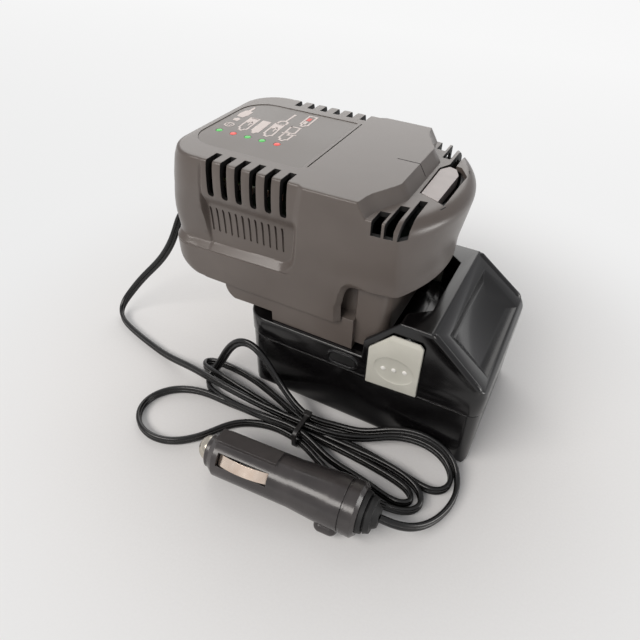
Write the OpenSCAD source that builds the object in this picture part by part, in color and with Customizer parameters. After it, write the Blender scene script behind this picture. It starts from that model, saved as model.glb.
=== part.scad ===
// Vehicle battery charger for slide-on 18 V tool packs, with one pack docked in it.
// X runs along the pack towards its finger slope, Y across, Z up; the pack rests on z = 0.
// The charger's foot holds the pack by a T-shaped rail, and the pack slides off along +X.

/* [Battery pack] */
// Length of the pack
pack_l = 120; // [118:1:124]
// Width of the pack over its case
pack_w = 76; // [74:1:80]
// Height of the pack at the ridge above its finger slope
pack_h = 70; // [69:1:74]
// Height of the seam between the pack's two case halves
seam_z = 34; // [33:0.5:36]
// Height of the shoulder that the charger's foot slides over
shoulder_z = 46; // [45.5:0.5:48]
// Wall of the pack's case
pack_wall = 2.2; // [1.8:0.1:2.6]
// Width of the pack at its ridge
ridge_w = 70.6; // [70:0.5:73]
// Distance from the ridge to the front face
slope_l = 27.5; // [26:0.5:30]
// Drop from the ridge to the foot of the slope
slope_drop = 21; // [18:0.5:23]
// Depth of the finger scoop in the slope
scoop_d = 3; // [2:0.5:4]
// Width of the finger scoop
scoop_w = 54; // [44:1:60]
// Diameter of one cell
cell_d = 18.2; // [18:0.1:18.4]
// Length of one cell
cell_l = 65; // [60:1:66]
// Cells in each of the two rows
cell_n = 5; // [3:1:5]

/* [Charger head] */
// How far the head reaches behind the pack
head_reach = 40; // [36:1:46]
// Length of the head
head_l = 126.5; // [124:0.5:128]
// Width of the head where it bulges most
head_w = 83.2; // [82:0.2:88]
// Width of the head's skirt
skirt_w = 78; // [77:0.5:80]
// Width of the head at its waist
waist_w = 71.6; // [70:0.4:75]
// Height of the head from its skirt to its top
head_h = 61.7; // [60:0.5:70]
// Height of the foot between the skirt and the pack's shoulder
foot_h = 15; // [14:0.5:18]
// Width of the foot
foot_w = 72; // [71:0.5:73]
// Rise from the skirt to the underside of the head's front
arch_h = 24.7; // [23.5:0.5:27]
// Drop from the top to the front deck
deck_drop = 4.7; // [3:0.5:6]
// Wall of the head's housing
head_wall = 2.2; // [1.8:0.1:2.6]
// Radius of the head's back corners at its bulge
corner_r = 19; // [16:1:22]
// Radius of the back corners of the head's skirt
skirt_r = 13; // [10:1:15]
// Air slots on each side of the head
slot_n = 6; // [4:1:6]
// Spacing of the air slots
slot_pitch = 7; // [6:0.25:7]
// Width of an air slot
slot_w = 2.9; // [2:0.1:3.4]
// Fine grip grooves on each side of the head
groove_n = 12; // [8:1:12]
// Spacing of the grip grooves
groove_pitch = 3.3; // [2.6:0.1:3.3]

/* [Pack rail and contacts] */
// Width of the T rail's head
rail_w = 54; // [50:1:55]
// Width of the T rail's neck
rail_neck_w = 48; // [44:1:49]
// Height of the T rail's neck
rail_neck_h = 4; // [3.5:0.5:4.5]
// Height of the T rail's head
rail_h = 7; // [6:0.5:7.5]
// Running clearance between the rail and the foot
rail_gap = 0.4; // [0.3:0.05:0.6]
// Length of a contact blade beyond the terminal block
blade_l = 18; // [14:1:20]
// Thickness of a contact blade
blade_t = 0.8; // [0.6:0.1:1]
// Width of a slot for a contact blade
blade_slot_w = 3.4; // [3.2:0.1:4]

/* [Release buttons] */
// Width of a release button
button_w = 24.5; // [22:0.5:26]
// Height of a release button at its apex
button_h = 31.5; // [28:0.5:32]
// Travel of a release button
button_travel = 2.5; // [1.5:0.25:2.5]
// Clearance round a release button
button_gap = 0.35; // [0.3:0.05:0.5]

/* [Vehicle plug] */
// Diameter of the plug's barrel
plug_d = 21; // [20:0.1:21.5]
// Length of the plug from its tip to the end of its strain relief
plug_l = 86.5; // [82:0.5:96]
// Travel of the sprung tip contact
tip_travel = 4; // [2:0.5:5]
// Diameter of the tip contact's shank
tip_d = 12; // [10:0.5:12.5]
// Wall of the plug's barrel
plug_wall = 2.4; // [2:0.1:3]
// Travel of the plug's sprung side contacts
leaf_travel = 1; // [0.6:0.1:1.2]

/* [Supply cord] */
// Width of the flat twin cord
cord_w = 4.6; // [4:0.2:5]
// Thickness of the flat twin cord
cord_t = 2.4; // [2:0.1:2.6]

/* [Hidden] */
$fn = 48;
eps = 0.01;
seat = 0.05;
overall_l = pack_l + head_reach;

// pack
pack_x1 = overall_l / 2;
pack_x0 = pack_x1 - pack_l;
ridge_x = pack_x1 - slope_l;
slope_z = pack_h - slope_drop;
pack_back_r = 12;
pack_front_r = 6;
pack_edge_r = 4;
pack_heel_r = 8;
pack_post_back = 3.7;
pack_post_front = 6;
pack_post_in = 7.3;
hood_x0 = ridge_x - 29;
hood_z0 = shoulder_z + 9;
hood_x1 = hood_x0 + (pack_h - hood_z0);
pocket_w = foot_w - 2.6;
cavity_x1 = ridge_x - 5.5;
cavity_w = 42;
cavity_z = shoulder_z + 2;
pack_top_in = shoulder_z - pack_wall;
pack_screw_z = 22;
seam_step = 0.4;

// cells and what holds them
cell_pitch = cell_d + 0.8;
row_pitch = cell_d + 0.4;
holder_z0 = pack_wall + seat;
holder_wall = 1.1;
row_z = holder_z0 + holder_wall + cell_d / 2;
holder_l = cell_n * cell_pitch + 1.6;
holder_x0 = pack_x0 + pack_wall + 8.2;
holder_z1 = row_z + row_pitch + cell_d / 2 + holder_wall;
holder_t = 9;
tab_t = 0.3;
board_t = 1.4;
board_w = 46;
board_z = holder_z1 + seat;
pin_w = 1.4;

// rail
rail_x0 = pack_x0 + 2;
rail_x1 = hood_x0 - 1.5;
rail_z1 = shoulder_z + rail_neck_h;
rail_z2 = rail_z1 + rail_h;
blade_ys = [-17, -7, 7, 17];
blade_slot_l = blade_l + 3;

// head
head_x0 = -overall_l / 2;
head_x1 = head_x0 + head_l;
head_z0 = shoulder_z + foot_h;
head_z1 = head_z0 + head_h;
front_z0 = head_z0 + arch_h;
deck_z = head_z1 - deck_drop;
ledge_z = head_z0 + 17;
waist_z = ledge_z + 3.5;
groove_z = front_z0 + 14.3;
groove_l = 12.5;
bulge_z = groove_z + 9;
step_x = head_x0 + 74;
arch_x = head_x0 + 90;
arch_r = 8;
heel_r = 8;
nose_x = head_x1 - 11;
nose_w = head_w - 3.8;
chin_w = nose_w - 6.6;
chin_a = atan((nose_w - chin_w) / 2 / (bulge_z + 4 - front_z0));
cheek_x = arch_x + 4;
cheek_a = atan((skirt_w - chin_w) / 2 / (nose_x - cheek_x));
front_r = 75;
top_w = head_w - 8.4;
edge_w = head_w - 3.2;
taper_d = (head_w - nose_w) / 2;
taper_r = (nose_x * nose_x + taper_d * taper_d) / (2 * taper_d);
slot_x0 = step_x - 8 - (slot_n - 1) * slot_pitch;
slot_y = 32.2;
groove_x0 = step_x - 11.2 - (groove_n - 1) * groove_pitch;
groove_d = 0.6;
deck_x = head_x0 + 106.5;
deck_slot_w = 3;

// label field, indicator lamps and window in the top
label_x0 = head_x0 + 8;
label_x1 = step_x - 7;
label_w = 56;
label_d = 0.5;
led_xs = [for (i = [0:4]) step_x - 28.4 - (4 - i) * 7.5];
led_y = -11.4;
led_d = 3;
lens_x = deck_x + 9.5;
lens_l = 29;
lens_w = 8.6;
lens_y = 1.5;
lens_t = 3;

// foot
foot_x0 = pack_x0 - 10.5;
foot_x1 = hood_x0 + 8.5;
foot_z0 = shoulder_z + 0.35;
foot_heel_r = 8;
foot_lip_z = foot_z0 + 5;
foot_lip_l = 14.5;
foot_z1 = head_z0 + 1;
plate_t = 2;
plate_z = head_z0 + 0.6;
plate_x0 = head_x0 + head_wall + 5.4;
boss_x0 = foot_x1 - 15;
boss_w = pocket_w - 2.4;
neck_w = 60;
channel_x0 = rail_x0 - 0.4;
roof_z = rail_z2 + rail_gap;
block_x0 = foot_x0 + 3;
block_x1 = channel_x0 - seat;
blade_z0 = shoulder_z + 5;
blade_h = 6;
front_plate_z = front_z0 + 0.3;

// head's inside
pcb_t = 1.6;
pcb_z = front_plate_z + plate_t + 6;
pcb_x0 = head_x0 + 8;
pcb_x1 = head_x1 - 13.5;
pcb_back_r = corner_r - 1;
pcb_w = waist_w - 2 * head_wall - 3;
post_d = 6;
pcb_posts = [[pcb_x0 + 12, 24], [pcb_x0 + 12, -24], [arch_x - 22, 24], [arch_x - 22, -24]];
screw_xs = [head_x0 + 26, arch_x - 14];
screw_y = 18;
screw_d = 3;
screw_head_d = 5.6;
screw_head_h = 2.4;
screw_sink = 14;
screw_post_d = screw_head_d + 2.8;
coil_d = 22;
coil_h = 13;
coil_x = head_x0 + 61;
coil_y = -6;
can_d = 10;
can_h = 18;
can_n = 3;
can_x = arch_x + 3;
sink_l = 34;
sink_w = 12;
sink_h = 18;
sink_x = screw_xs[0] + 8;
sink_y = 17;
gland_z = head_z0 + 11.5;
gland_d = 9;
gland_x0 = head_x0 + head_wall + 2.8;
gland_y = 3;

// release buttons, each with its spring and its tooth
button_x0 = hood_x0 + 3;
button_x1 = button_x0 + button_w;
button_z1 = pack_h - 6.5;
button_z0 = button_z1 - button_h;
button_skin = 1.7;
button_out = pack_w / 2 + 0.3;
button_in = button_out - button_skin;
button_deep = button_in - button_travel - 0.3;
spring_x = hood_x1 + 4.4;
spring_z = hood_z0 + 3;
spring_od = 6;
spring_wire = 0.7;
spring_turns = 5;
spring_l = 6.5;
spring_y1 = button_in - spring_l;
tooth_x = button_x0 + 1.5;
tooth_z = shoulder_z + 5;
tooth_w = 3;
tooth_h = 3;
tooth_y = boss_w / 2 - 1.4;

// plug, laid beside the pack
plug_pos = [-29.4, -92, 11];
plug_yaw = 3;
plug_tilt = 1;
leaf_roll = 40;
rib_roll = 8;
rib_w = 7.6;
rib_l = 32;
rib_t = 0.9;
lug_roll = 40;
lug_r = 3;
lug_l = 4.5;
plug_r = plug_d / 2;
plug_rear_r = plug_r + 1.3;
nose_u = 6.2;
nose_l = 2.3;
barrel_u = nose_u + nose_l;
tail_u = plug_l - 14.5;
relief_u = plug_l - 7.5;
sleeve_l = 4;
cap_t = 2;
bore_r = plug_r - plug_wall;
cap_in_r = bore_r - 1.1;
flange_r = cap_in_r - 0.2;
flange_t = 1.9;
fuse_l = 30;
fuse_d = 6.2;
fuse_u = barrel_u + 16;
tip_spring_u = nose_u + 5.5;
tip_spring_turns = 8;
leaf_u = barrel_u + 6.2;
leaf_l = 23.5;
leaf_w = 5;
leaf_t = 0.6;
leaf_tail = 5.6;
leaf_proud = leaf_travel - 0.1;
leaf_seat = 0.7;
leaf_rise = plug_r + leaf_proud - bore_r - leaf_seat;
leaf_bow_r = (leaf_l * leaf_l / 4 + leaf_rise * leaf_rise) / (2 * leaf_rise);
leaf_bow_a = asin(leaf_l / 2 / leaf_bow_r);

// tie round the bundled cord
tie_x = 5;
tie_y = -59.4;
tie_w = 2.6;
tie_t = 1.1;
tie_span = 15.6;
tie_rise = 10;

// route of the supply cord, from the gland to the plug
cord_route = [
    [-95, 3, 72.5], [-103, -2, 65.5], [-106, -9, 51], [-114, -13, 37], [-126, -19, 23],
    [-135, -25.5, 10], [-137, -31, 4.4], [-131, -36.5, 2.5], [-114, -42.5, 2.4],
    [-88, -48.5, 2.6], [-66, -52.5, 7], [-45, -55.8, 8.6], [-18, -57.5, 8.4],
    [5, -57.4, 8.4], [20, -55, 6.5], [34, -49.5, 6.2], [46, -42, 7.2], [58, -39.8, 8],
    [68, -40.5, 6.4], [75.5, -45, 3.8], [78, -52.5, 2.4], [72.5, -59, 2.4], [60, -57.5, 2.4],
    [36, -54, 2.4],
    [5, -53.4, 3.6], [-18, -45.6, 3], [-38, -39.8, 2.6], [-58, -38.5, 2.4], [-67, -40.5, 2.4],
    [-65, -45, 3], [-50, -50.3, 8], [-30, -52, 5.5],
    [5, -56, 3.6], [28, -56.4, 4.2], [52, -57.5, 4.6], [65, -60.8, 3.8], [70.4, -67, 2.6],
    [66, -73.5, 2.4], [54, -75.6, 2.4], [30, -73.6, 2.6],
    [5, -63.8, 3.6], [-14, -63, 2.6], [-28, -70, 2.4], [-37, -84, 2.4], [-48, -93.4, 2.4],
    [-60, -95.5, 2.4], [-71, -90.5, 2.4], [-75.5, -80, 2.4], [-70, -68, 2.4], [-57, -61, 2.4],
    [-36, -60, 2.4],
    [5, -58.6, 3.6], [30, -59, 3], [52, -60.8, 2.4], [64, -64, 2.4], [66.3, -69, 2.4],
    [59, -72, 2.4], [44, -69, 2.6], [24, -67, 4],
    [5, -62, 8.4], [-14, -62.4, 7.4], [-36, -60, 3.4], [-53, -56.5, 2.4], [-57.8, -51.5, 2.6],
    [-56, -47, 5], [-52.5, -44.6, 11], [-48, -43.6, 21], [-41.5, -43, 29.5], [-34, -43.2, 32.8],
    [-26, -44, 28], [-14, -47, 16],
    [5, -53.2, 8.6], [18, -49.8, 6.8], [32, -47.3, 7], [44, -42.5, 11.2], [56, -39.8, 13],
    [67, -39.8, 11.4], [75.5, -42.5, 7], [80.6, -50.5, 3.4], [80.9, -60, 2.5],
    [77.8, -70.5, 3.2], [72.8, -79.2, 5.8], [66.5, -85, 9.4], [61, -87.3, 12], [57, -87.5, 12.5]];

// points on an arc about (cx, cy)
function arc(cx, cy, r, a0, a1, n = 6) =
    [for (i = [0:n]) let (a = a0 + (a1 - a0) * i / n) [cx + r * cos(a), cy + r * sin(a)]];

// an outline in (Y, Z), drawn on its +Y side, made whole by its mirror image
function both_sides(half) = concat(half, [for (i = [len(half) - 1:-1:0]) [-half[i][0], half[i][1]]]);

// a (Y, Z) outline swept along X
module along_x(x0, x1) {
    translate([x0, 0, 0]) rotate([90, 0, 90]) linear_extrude(x1 - x0) children();
}

// an (X, Z) outline swept across Y
module across_y(y0, y1) {
    translate([0, y1, 0]) rotate([90, 0, 0]) linear_extrude(y1 - y0) children();
}

// a box from its two corners
module block(a, b) {
    translate(a) cube(b - a);
}

// a plan outline with one corner radius at each end
module plan(x0, x1, w, r0, r1) {
    translate([x0 + r0, -w / 2]) square([x1 - x0 - r0 - r1, w]);
    translate([x0, -w / 2 + r0]) square([r0 + eps, w - 2 * r0]);
    translate([x1 - r1 - eps, -w / 2 + r1]) square([r1 + eps, w - 2 * r1]);
    for (s = [-1, 1]) {
        translate([x0 + r0, s * (w / 2 - r0)]) circle(r0);
        translate([x1 - r1, s * (w / 2 - r1)]) circle(r1);
    }
}

// a piece made once on the right, at -Y, and once on the left
module each_side() {
    children();
    mirror([0, 1, 0]) children();
}

// ---- charger head ----

module head_plan(t) {
    intersection() {
        plan(head_x0 + t, head_x1 + 20, head_w - 2 * t, skirt_r - t, 5);
        translate([head_x1 - front_r, 0]) circle(front_r - t);
        union() {
            translate([head_x0, -head_w / 2]) square([-head_x0, head_w]);
            intersection_for (s = [-1, 1]) {
                translate([0, s * (head_w / 2 - taper_r)]) circle(taper_r - t);
            }
        }
    }
}

module head_section_front(t) {
    polygon(both_sides([
        [skirt_w / 2 - t, head_z0 - 1],
        [skirt_w / 2 + 0.4 - t, front_z0],
        [head_w / 2 - 0.5 - t, groove_z],
        [head_w / 2 - t, bulge_z],
        [head_w / 2 - 0.4 - t, head_z1 - 4],
        [edge_w / 2 - t, head_z1 - t]
    ]));
}

module head_section_rear(t) {
    polygon(both_sides([
        [skirt_w / 2 - t, head_z0 - 1],
        [skirt_w / 2 + 0.3 - t, ledge_z],
        [waist_w / 2 + 0.4 - t, waist_z],
        [waist_w / 2 + 1 - t, groove_z],
        [head_w / 2 - 0.6 - t, bulge_z - 2.5],
        [head_w / 2 - t, bulge_z],
        [head_w / 2 - 0.8 - t, bulge_z + 5],
        [top_w / 2 - t, head_z1 - t]
    ]));
}

module head_profile(t) {
    polygon(concat(
        arc(head_x0 + heel_r + t, head_z0 + heel_r, heel_r, 270, 180),
        [[head_x0 + t, ledge_z], [head_x0 + 2 + t, waist_z], [head_x0 + 1.6 + t, groove_z],
         [head_x0 + 1 + t, bulge_z], [head_x0 + 1.4 + t, bulge_z + 4], [head_x0 + 2.6 + t, head_z1 - 4.5],
         [head_x0 + 4.2 + t, head_z1 - 2], [head_x0 + 7 + t, head_z1 - t], [head_x1 - 9, head_z1 - t]],
        arc(head_x1 - 9, deck_z - 9, 9 - t, 80, 0),
        [[head_x1 - 0.8 - t, front_z0 - 1]],
        [[arch_x + 7 + t, front_z0 - 1], [arch_x + 7 + t, head_z0 - 1]]
    ));
}

module head_solid(t) {
    intersection() {
        translate([0, 0, head_z0 - 1]) linear_extrude(head_h + 2) head_plan(t);
        union() {
            along_x(head_x0, step_x - t) head_section_rear(t);
            along_x(step_x - t - eps, head_x1 + 1) head_section_front(t);
        }
        across_y(-head_w, head_w) head_profile(t);
        cheeks(t);
        back_corners(t);
    }
}

// what is left once the skirt and the bulge have their own rounded back corners
module back_corners(t) {
    difference() {
        block([head_x0 - 5, -head_w, head_z0 - 5], [head_x1 + 5, head_w, head_z1 + 5]);
        each_side() {
            back_corner(head_x0 + skirt_r, -skirt_w / 2 + skirt_r, head_z0 - 5, groove_z, [
                [skirt_r - t, head_z0 - 6], [skirt_r - t, ledge_z], [skirt_r - 2.4 - t, waist_z],
                [skirt_r - 2.4 - t, groove_z + 1]
            ]);
            back_corner(head_x0 + 1 + corner_r, -head_w / 2 + corner_r, groove_z, head_z1 + 5, [
                [corner_r - t, groove_z - 1], [corner_r - t, bulge_z], [corner_r - 0.6 - t, bulge_z + 5],
                [corner_r - 1.8 - t, head_z1 - 4], [corner_r - 5 - t, head_z1 - t]
            ]);
        }
    }
}

// what one back corner loses outside a body of revolution about (x, y)
module back_corner(x, y, z0, z1, outline) {
    difference() {
        block([head_x0 - 6, -head_w, z0], [x, y, z1]);
        translate([x, y, 0]) rotate_extrude()
            polygon(concat([[0, outline[0][1]]], outline, [[0, outline[len(outline) - 1][1]]]));
    }
}

// what is left between the two flat faces that draw the head's front in towards its chin
module cheeks(t) {
    difference() {
        block([head_x0 - 5, -head_w, head_z0 - 5], [head_x1 + 5, head_w, head_z1 + 5]);
        each_side() intersection() {
            translate([nose_x, chin_w / 2 - t, front_z0]) rotate([-chin_a, 0, -cheek_a])
                translate([-100, 0, -50]) cube([200, 50, 150]);
            block([cheek_x - 10, 0, front_z0], [head_x1 + 20, head_w, head_z1 + 20]);
        }
    }
}

// the space above the front deck, set back round the plateau
module above_deck(t) {
    translate([0, 0, deck_z - t]) linear_extrude(20) polygon([
        [deck_x - 8.6 - t, head_w], [deck_x - 8.6 - t, head_w / 2 - 1], [deck_x - 7.3 - t, 33],
        [deck_x - t, 19.5], [deck_x - t, -19.5], [deck_x - 7.3 - t, -33],
        [deck_x - 8.6 - t, -head_w / 2 + 1], [deck_x - 8.6 - t, -head_w],
        [head_x1 + 5, -head_w], [head_x1 + 5, head_w]
    ]);
}

// the arch that opens the skirt below the head's front
module arch_cut() {
    across_y(-head_w, head_w) polygon(concat(
        [[arch_x - 1.5, head_z0 - 5]],
        arc(arch_x + arch_r, front_z0 + 0.2 - arch_r, arch_r, 180, 90),
        [[head_x1 + 5, front_z0], [head_x1 + 5, head_z0 - 5]]
    ));
}

module deck_slots() {
    for (i = [0:2]) {
        block([deck_x - 1.5 + i * 5.5, 31.5 - 8.5 * i, deck_z - 8],
              [deck_x - 1.5 + deck_slot_w + i * 5.5, head_w, head_z1]);
    }
}

// the house-shaped outline of the window, grown by g
module lens_outline(g) {
    polygon([
        [lens_x - lens_w / 2 - g, lens_y - lens_l / 2 - g],
        [lens_x + lens_w / 2 + g, lens_y - lens_l / 2 - g],
        [lens_x + lens_w / 2 + g, lens_y + lens_l / 2 - 6],
        [lens_x + 1, lens_y + lens_l / 2 + g],
        [lens_x - 2, lens_y + lens_l / 2 + g],
        [lens_x - lens_w / 2 - g, lens_y + lens_l / 2 - 4]
    ]);
}

module label_outline(g) {
    plan(label_x0 + g, label_x1 - g, label_w - 2 * g, 16 - g, 2);
}

module screw_posts(z0, z1, d) {
    for (x = screw_xs, s = [-1, 1]) {
        translate([x, s * screw_y, z0]) cylinder(h = z1 - z0, d = d);
    }
}

module top_housing() {
    color("dimgray") difference() {
        union() {
            difference() {
                head_solid(0);
                difference() {
                    head_solid(head_wall);
                    above_deck(head_wall);
                }
                block([head_x0, -head_w, head_z0 - 5], [head_x1, head_w, head_z0]);
                arch_cut();
                above_deck(0);
            }
            screw_posts(pcb_z + pcb_t + 0.2, head_z1 - head_wall + 0.2, post_d + 1);
            translate([0, 0, deck_z - lens_t - head_wall]) linear_extrude(lens_t + head_wall)
                lens_outline(1.5);
        }
        screw_posts(pcb_z, pcb_z + 13, screw_d + 0.04);
        each_side() for (i = [0:slot_n - 1]) {
            block([slot_x0 + i * slot_pitch - slot_w / 2, slot_y, bulge_z],
                  [slot_x0 + i * slot_pitch + slot_w / 2, head_w, head_z1 + 1]);
        }
        each_side() for (i = [0:groove_n - 1]) {
            translate([groove_x0 + i * groove_pitch, waist_w / 2 + 0.4 - groove_d, groove_z - groove_l])
                rotate([-2, 0, 0]) cube([0.8, 5, groove_l]);
        }
        each_side() deck_slots();
        translate([0, 0, head_z1 - label_d]) linear_extrude(5) label_outline(0);
        for (x = led_xs) {
            translate([x, led_y, head_z1 - 5]) cylinder(h = 10, d = led_d + 0.2);
        }
        translate([0, 0, deck_z - lens_t]) linear_extrude(10) lens_outline(0.1);
        translate([head_x0 - 1, gland_y, gland_z]) rotate([0, 90, 0]) cylinder(h = 6, d = gland_d + 0.2);
    }
}

module label_sheet() {
    color("gray") difference() {
        translate([0, 0, head_z1 - label_d + seat]) linear_extrude(0.35) label_outline(0.2);
        for (x = led_xs) {
            translate([x, led_y, head_z1 - 2]) cylinder(h = 4, d = led_d + 0.2);
        }
    }
}

module lamp_light_pipes() {
    color("lightgreen") {
        for (x = led_xs) {
            translate([x, led_y, pcb_z + pcb_t + 3.1]) cylinder(h = head_z1 - pcb_z - pcb_t - 3.1, d = led_d);
        }
        block([led_xs[0] - 3, led_y - 1, head_z1 - head_wall - 4],
              [led_xs[4] + 3, led_y + 1, head_z1 - head_wall - 0.1]);
    }
}

module status_lamps() {
    color("white") for (x = led_xs) {
        block([x - 1.6, led_y - 1.4, pcb_z + pcb_t + seat], [x + 1.6, led_y + 1.4, pcb_z + pcb_t + 3]);
    }
}

module deck_lens() {
    color("lightgray") translate([0, 0, deck_z - lens_t + seat]) linear_extrude(lens_t - seat - 0.2)
        lens_outline(0);
}

// ---- foot, neck and the plates that close the head from below ----

module base_housing() {
    color("dimgray") difference() {
        union() {
            // plate behind the arch
            translate([0, 0, plate_z]) linear_extrude(plate_t)
                plan(plate_x0, arch_x - 2.2, skirt_w - 2 * head_wall - 0.6, skirt_r - head_wall, 2);
            // plate under the head's front
            translate([0, 0, front_plate_z]) linear_extrude(plate_t) intersection() {
                head_plan(head_wall + 3);
                translate([arch_x + 4, -head_w]) square([60, 2 * head_w]);
            }
            // neck between the plates
            block([arch_x - 8, -neck_w / 2, plate_z], [foot_x1 - 2, neck_w / 2, front_plate_z + plate_t]);
            // foot with a rounded heel
            intersection() {
                block([foot_x0, -foot_w / 2, foot_z0], [boss_x0 + 0.5, foot_w / 2, foot_z1 + 1]);
                across_y(-foot_w, foot_w) polygon(concat(
                    arc(foot_x0 + foot_heel_r, foot_lip_z + foot_heel_r - 1, foot_heel_r, 180, 245),
                    [[foot_x0 + foot_lip_l, foot_lip_z], [foot_x0 + 26, foot_lip_z], [foot_x0 + 26, foot_z0],
                     [boss_x0 + 0.5, foot_z0], [boss_x0 + 0.5, foot_z1 + 1], [foot_x0, foot_z1 + 1]]
                ));
            }
            // round-fronted boss that reaches down in front of the arch
            intersection() {
                block([boss_x0, -boss_w / 2, shoulder_z + 3], [foot_x1, boss_w / 2, front_plate_z + plate_t]);
                translate([0, 0, shoulder_z]) linear_extrude(arch_h + foot_h + 10)
                    plan(boss_x0, foot_x1, boss_w, 1, 5);
            }
            for (p = pcb_posts) {
                translate([p[0], p[1], plate_z]) cylinder(h = pcb_z - plate_z - seat, d = post_d);
            }
            screw_posts(plate_z, pcb_z - seat, screw_post_d);
        }
        // channel for the pack's rail
        block([channel_x0, -rail_w / 2 - rail_gap, rail_z1 - rail_gap],
              [foot_x1 + 5, rail_w / 2 + rail_gap, roof_z]);
        block([channel_x0 - 2.5, -rail_neck_w / 2 - rail_gap, foot_z0 - 5],
              [foot_x1 + 5, rail_neck_w / 2 + rail_gap, rail_z1]);
        block([block_x0, -rail_neck_w / 2, foot_z0 - 5], [channel_x0 + 1, rail_neck_w / 2, roof_z]);
        // hollow of the neck and boss
        block([arch_x - 6, -neck_w / 2 + 2, roof_z + 2.4],
              [foot_x1 - 2.2, neck_w / 2 - 2, front_plate_z + 5]);
        // paths for the output leads
        for (y = [blade_ys[0], blade_ys[3]]) {
            translate([(block_x0 + block_x1) / 2, y, roof_z - 2]) cylinder(h = 12, d = 3);
        }
        // open-ended grooves for the release buttons' teeth
        each_side() block([tooth_x - 1.5, -boss_w / 2 - 1, tooth_z - 1],
                          [foot_x1 + 1, -boss_w / 2 + 5, tooth_z + tooth_h + 1]);
        // screw holes, counterbored from below
        screw_posts(plate_z - 5, pcb_z + 5, screw_d + 0.2);
        screw_posts(plate_z - 8, plate_z + screw_sink, screw_head_d + 0.4);
    }
}

module circuit_board() {
    color("darkgreen") difference() {
        translate([0, 0, pcb_z]) linear_extrude(pcb_t) intersection() {
            plan(pcb_x0, pcb_x1, pcb_w, pcb_back_r, 6);
            head_plan(head_wall + 3);
        }
        screw_posts(pcb_z - 5, pcb_z + 5, screw_d + 0.4);
    }
}

module power_coil() {
    color("darkgoldenrod") translate([coil_x, coil_y, pcb_z + pcb_t + seat]) rotate_extrude()
        translate([coil_d / 4, 0]) square([coil_d / 4, coil_h]);
}

module smoothing_capacitors() {
    color("navy") for (i = [0:can_n - 1]) {
        translate([can_x, (i - (can_n - 1) / 2) * (can_d + 2), pcb_z + pcb_t + seat])
            cylinder(h = can_h, d = can_d);
    }
}

module heat_sink() {
    color("silver") translate([sink_x, sink_y, pcb_z + pcb_t + seat]) {
        cube([sink_l, 2, sink_h]);
        for (i = [0:7]) {
            translate([i * (sink_l - 1.2) / 7, 1, 0]) cube([1.2, sink_w - 1, sink_h]);
        }
    }
}

module power_transistors() {
    color("black") for (i = [0:2]) {
        translate([sink_x + 1 + i * 11, sink_y - 4.5 - seat, pcb_z + pcb_t + seat]) {
            cube([9, 4.5, 11]);
            translate([0, 3.2, 10]) cube([9, 1.3, 6]);
        }
    }
}

module terminal_block() {
    color("black") difference() {
        block([block_x0 + seat, -rail_neck_w / 2 + 0.1, shoulder_z + 1],
              [block_x1, rail_neck_w / 2 - 0.1, roof_z - 0.05]);
        for (y = blade_ys) {
            block([block_x0 + 2, y - blade_t / 2, blade_z0],
                  [block_x1 + 1, y + blade_t / 2, blade_z0 + blade_h]);
        }
        for (y = [blade_ys[0], blade_ys[3]]) {
            translate([(block_x0 + block_x1) / 2, y, blade_z0 + blade_h - eps]) cylinder(h = 20, d = 3);
        }
    }
}

module contact_blades() {
    color("tan") for (y = blade_ys) {
        block([block_x0 + 2.02, y - blade_t / 2 + 0.02, blade_z0 + 0.02],
              [block_x1 + blade_l, y + blade_t / 2 - 0.02, blade_z0 + blade_h - 0.02]);
    }
}

module output_leads() {
    color("red") for (y = [blade_ys[0], blade_ys[3]]) {
        translate([(block_x0 + block_x1) / 2, y, blade_z0 + blade_h + seat])
            cylinder(h = pcb_z - blade_z0 - blade_h - 2 * seat, d = 2);
    }
}

module housing_screws() {
    color("silver") for (x = screw_xs, s = [-1, 1]) {
        translate([x, s * screw_y, plate_z + screw_sink - seat - screw_head_h])
            cylinder(h = screw_head_h, d = screw_head_d);
        translate([x, s * screw_y, plate_z + screw_sink - 1]) cylinder(h = pcb_z - plate_z - 1, d = screw_d);
    }
}

module cord_gland() {
    neck_l = head_wall + 4.5;
    color("black") translate([gland_x0, gland_y, gland_z]) rotate([0, -90, 0]) {
        cylinder(h = 2.4, d = gland_d + 1.4);
        cylinder(h = neck_l, d = gland_d);
        translate([0, 0, neck_l - eps])
            cylinder(h = gland_x0 - cord_route[0][0] - neck_l + eps, d1 = gland_d, d2 = cord_w + 1.8);
    }
}

// ---- supply cord and its tie ----

function unit(v) = v / norm(v);

// an eight-sided flat ring that stands on edge at one point of the route
function ring_at(i) =
    let (last = len(cord_route) - 1,
         p = cord_route[i],
         t = unit((i < last ? unit(cord_route[i + 1] - p) : [0, 0, 0])
                  + (i > 0 ? unit(p - cord_route[i - 1]) : [0, 0, 0])),
         s = unit(cross([0, 0, 1], t)),
         v = cross(t, s))
    [for (k = [0:7]) p + cord_t / 2 * cos(45 * k + 22.5) * s + cord_w / 2 * sin(45 * k + 22.5) * v];

module supply_cord() {
    last = len(cord_route) - 1;
    points = [for (i = [0:last]) each ring_at(i)];
    sides = [for (i = [0:last - 1], k = [0:7])
        [8 * i + k, 8 * i + (k + 1) % 8, 8 * (i + 1) + (k + 1) % 8, 8 * (i + 1) + k]];
    color("black") polyhedron(points, concat(
        sides, [[for (k = [7:-1:0]) k]], [[for (k = [0:7]) 8 * last + k]]));
}

module cable_tie() {
    color("black") difference() {
        block([tie_x - tie_w / 2, tie_y - tie_span / 2 - tie_t, 0.2],
              [tie_x + tie_w / 2, tie_y + tie_span / 2 + tie_t, tie_rise + 2 * tie_t + 0.2]);
        block([tie_x - tie_w, tie_y - tie_span / 2, tie_t + 0.2],
              [tie_x + tie_w, tie_y + tie_span / 2, tie_rise + tie_t + 0.2]);
    }
}

// ---- vehicle plug, drawn along its own axis from the tip at u = 0 ----

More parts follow.
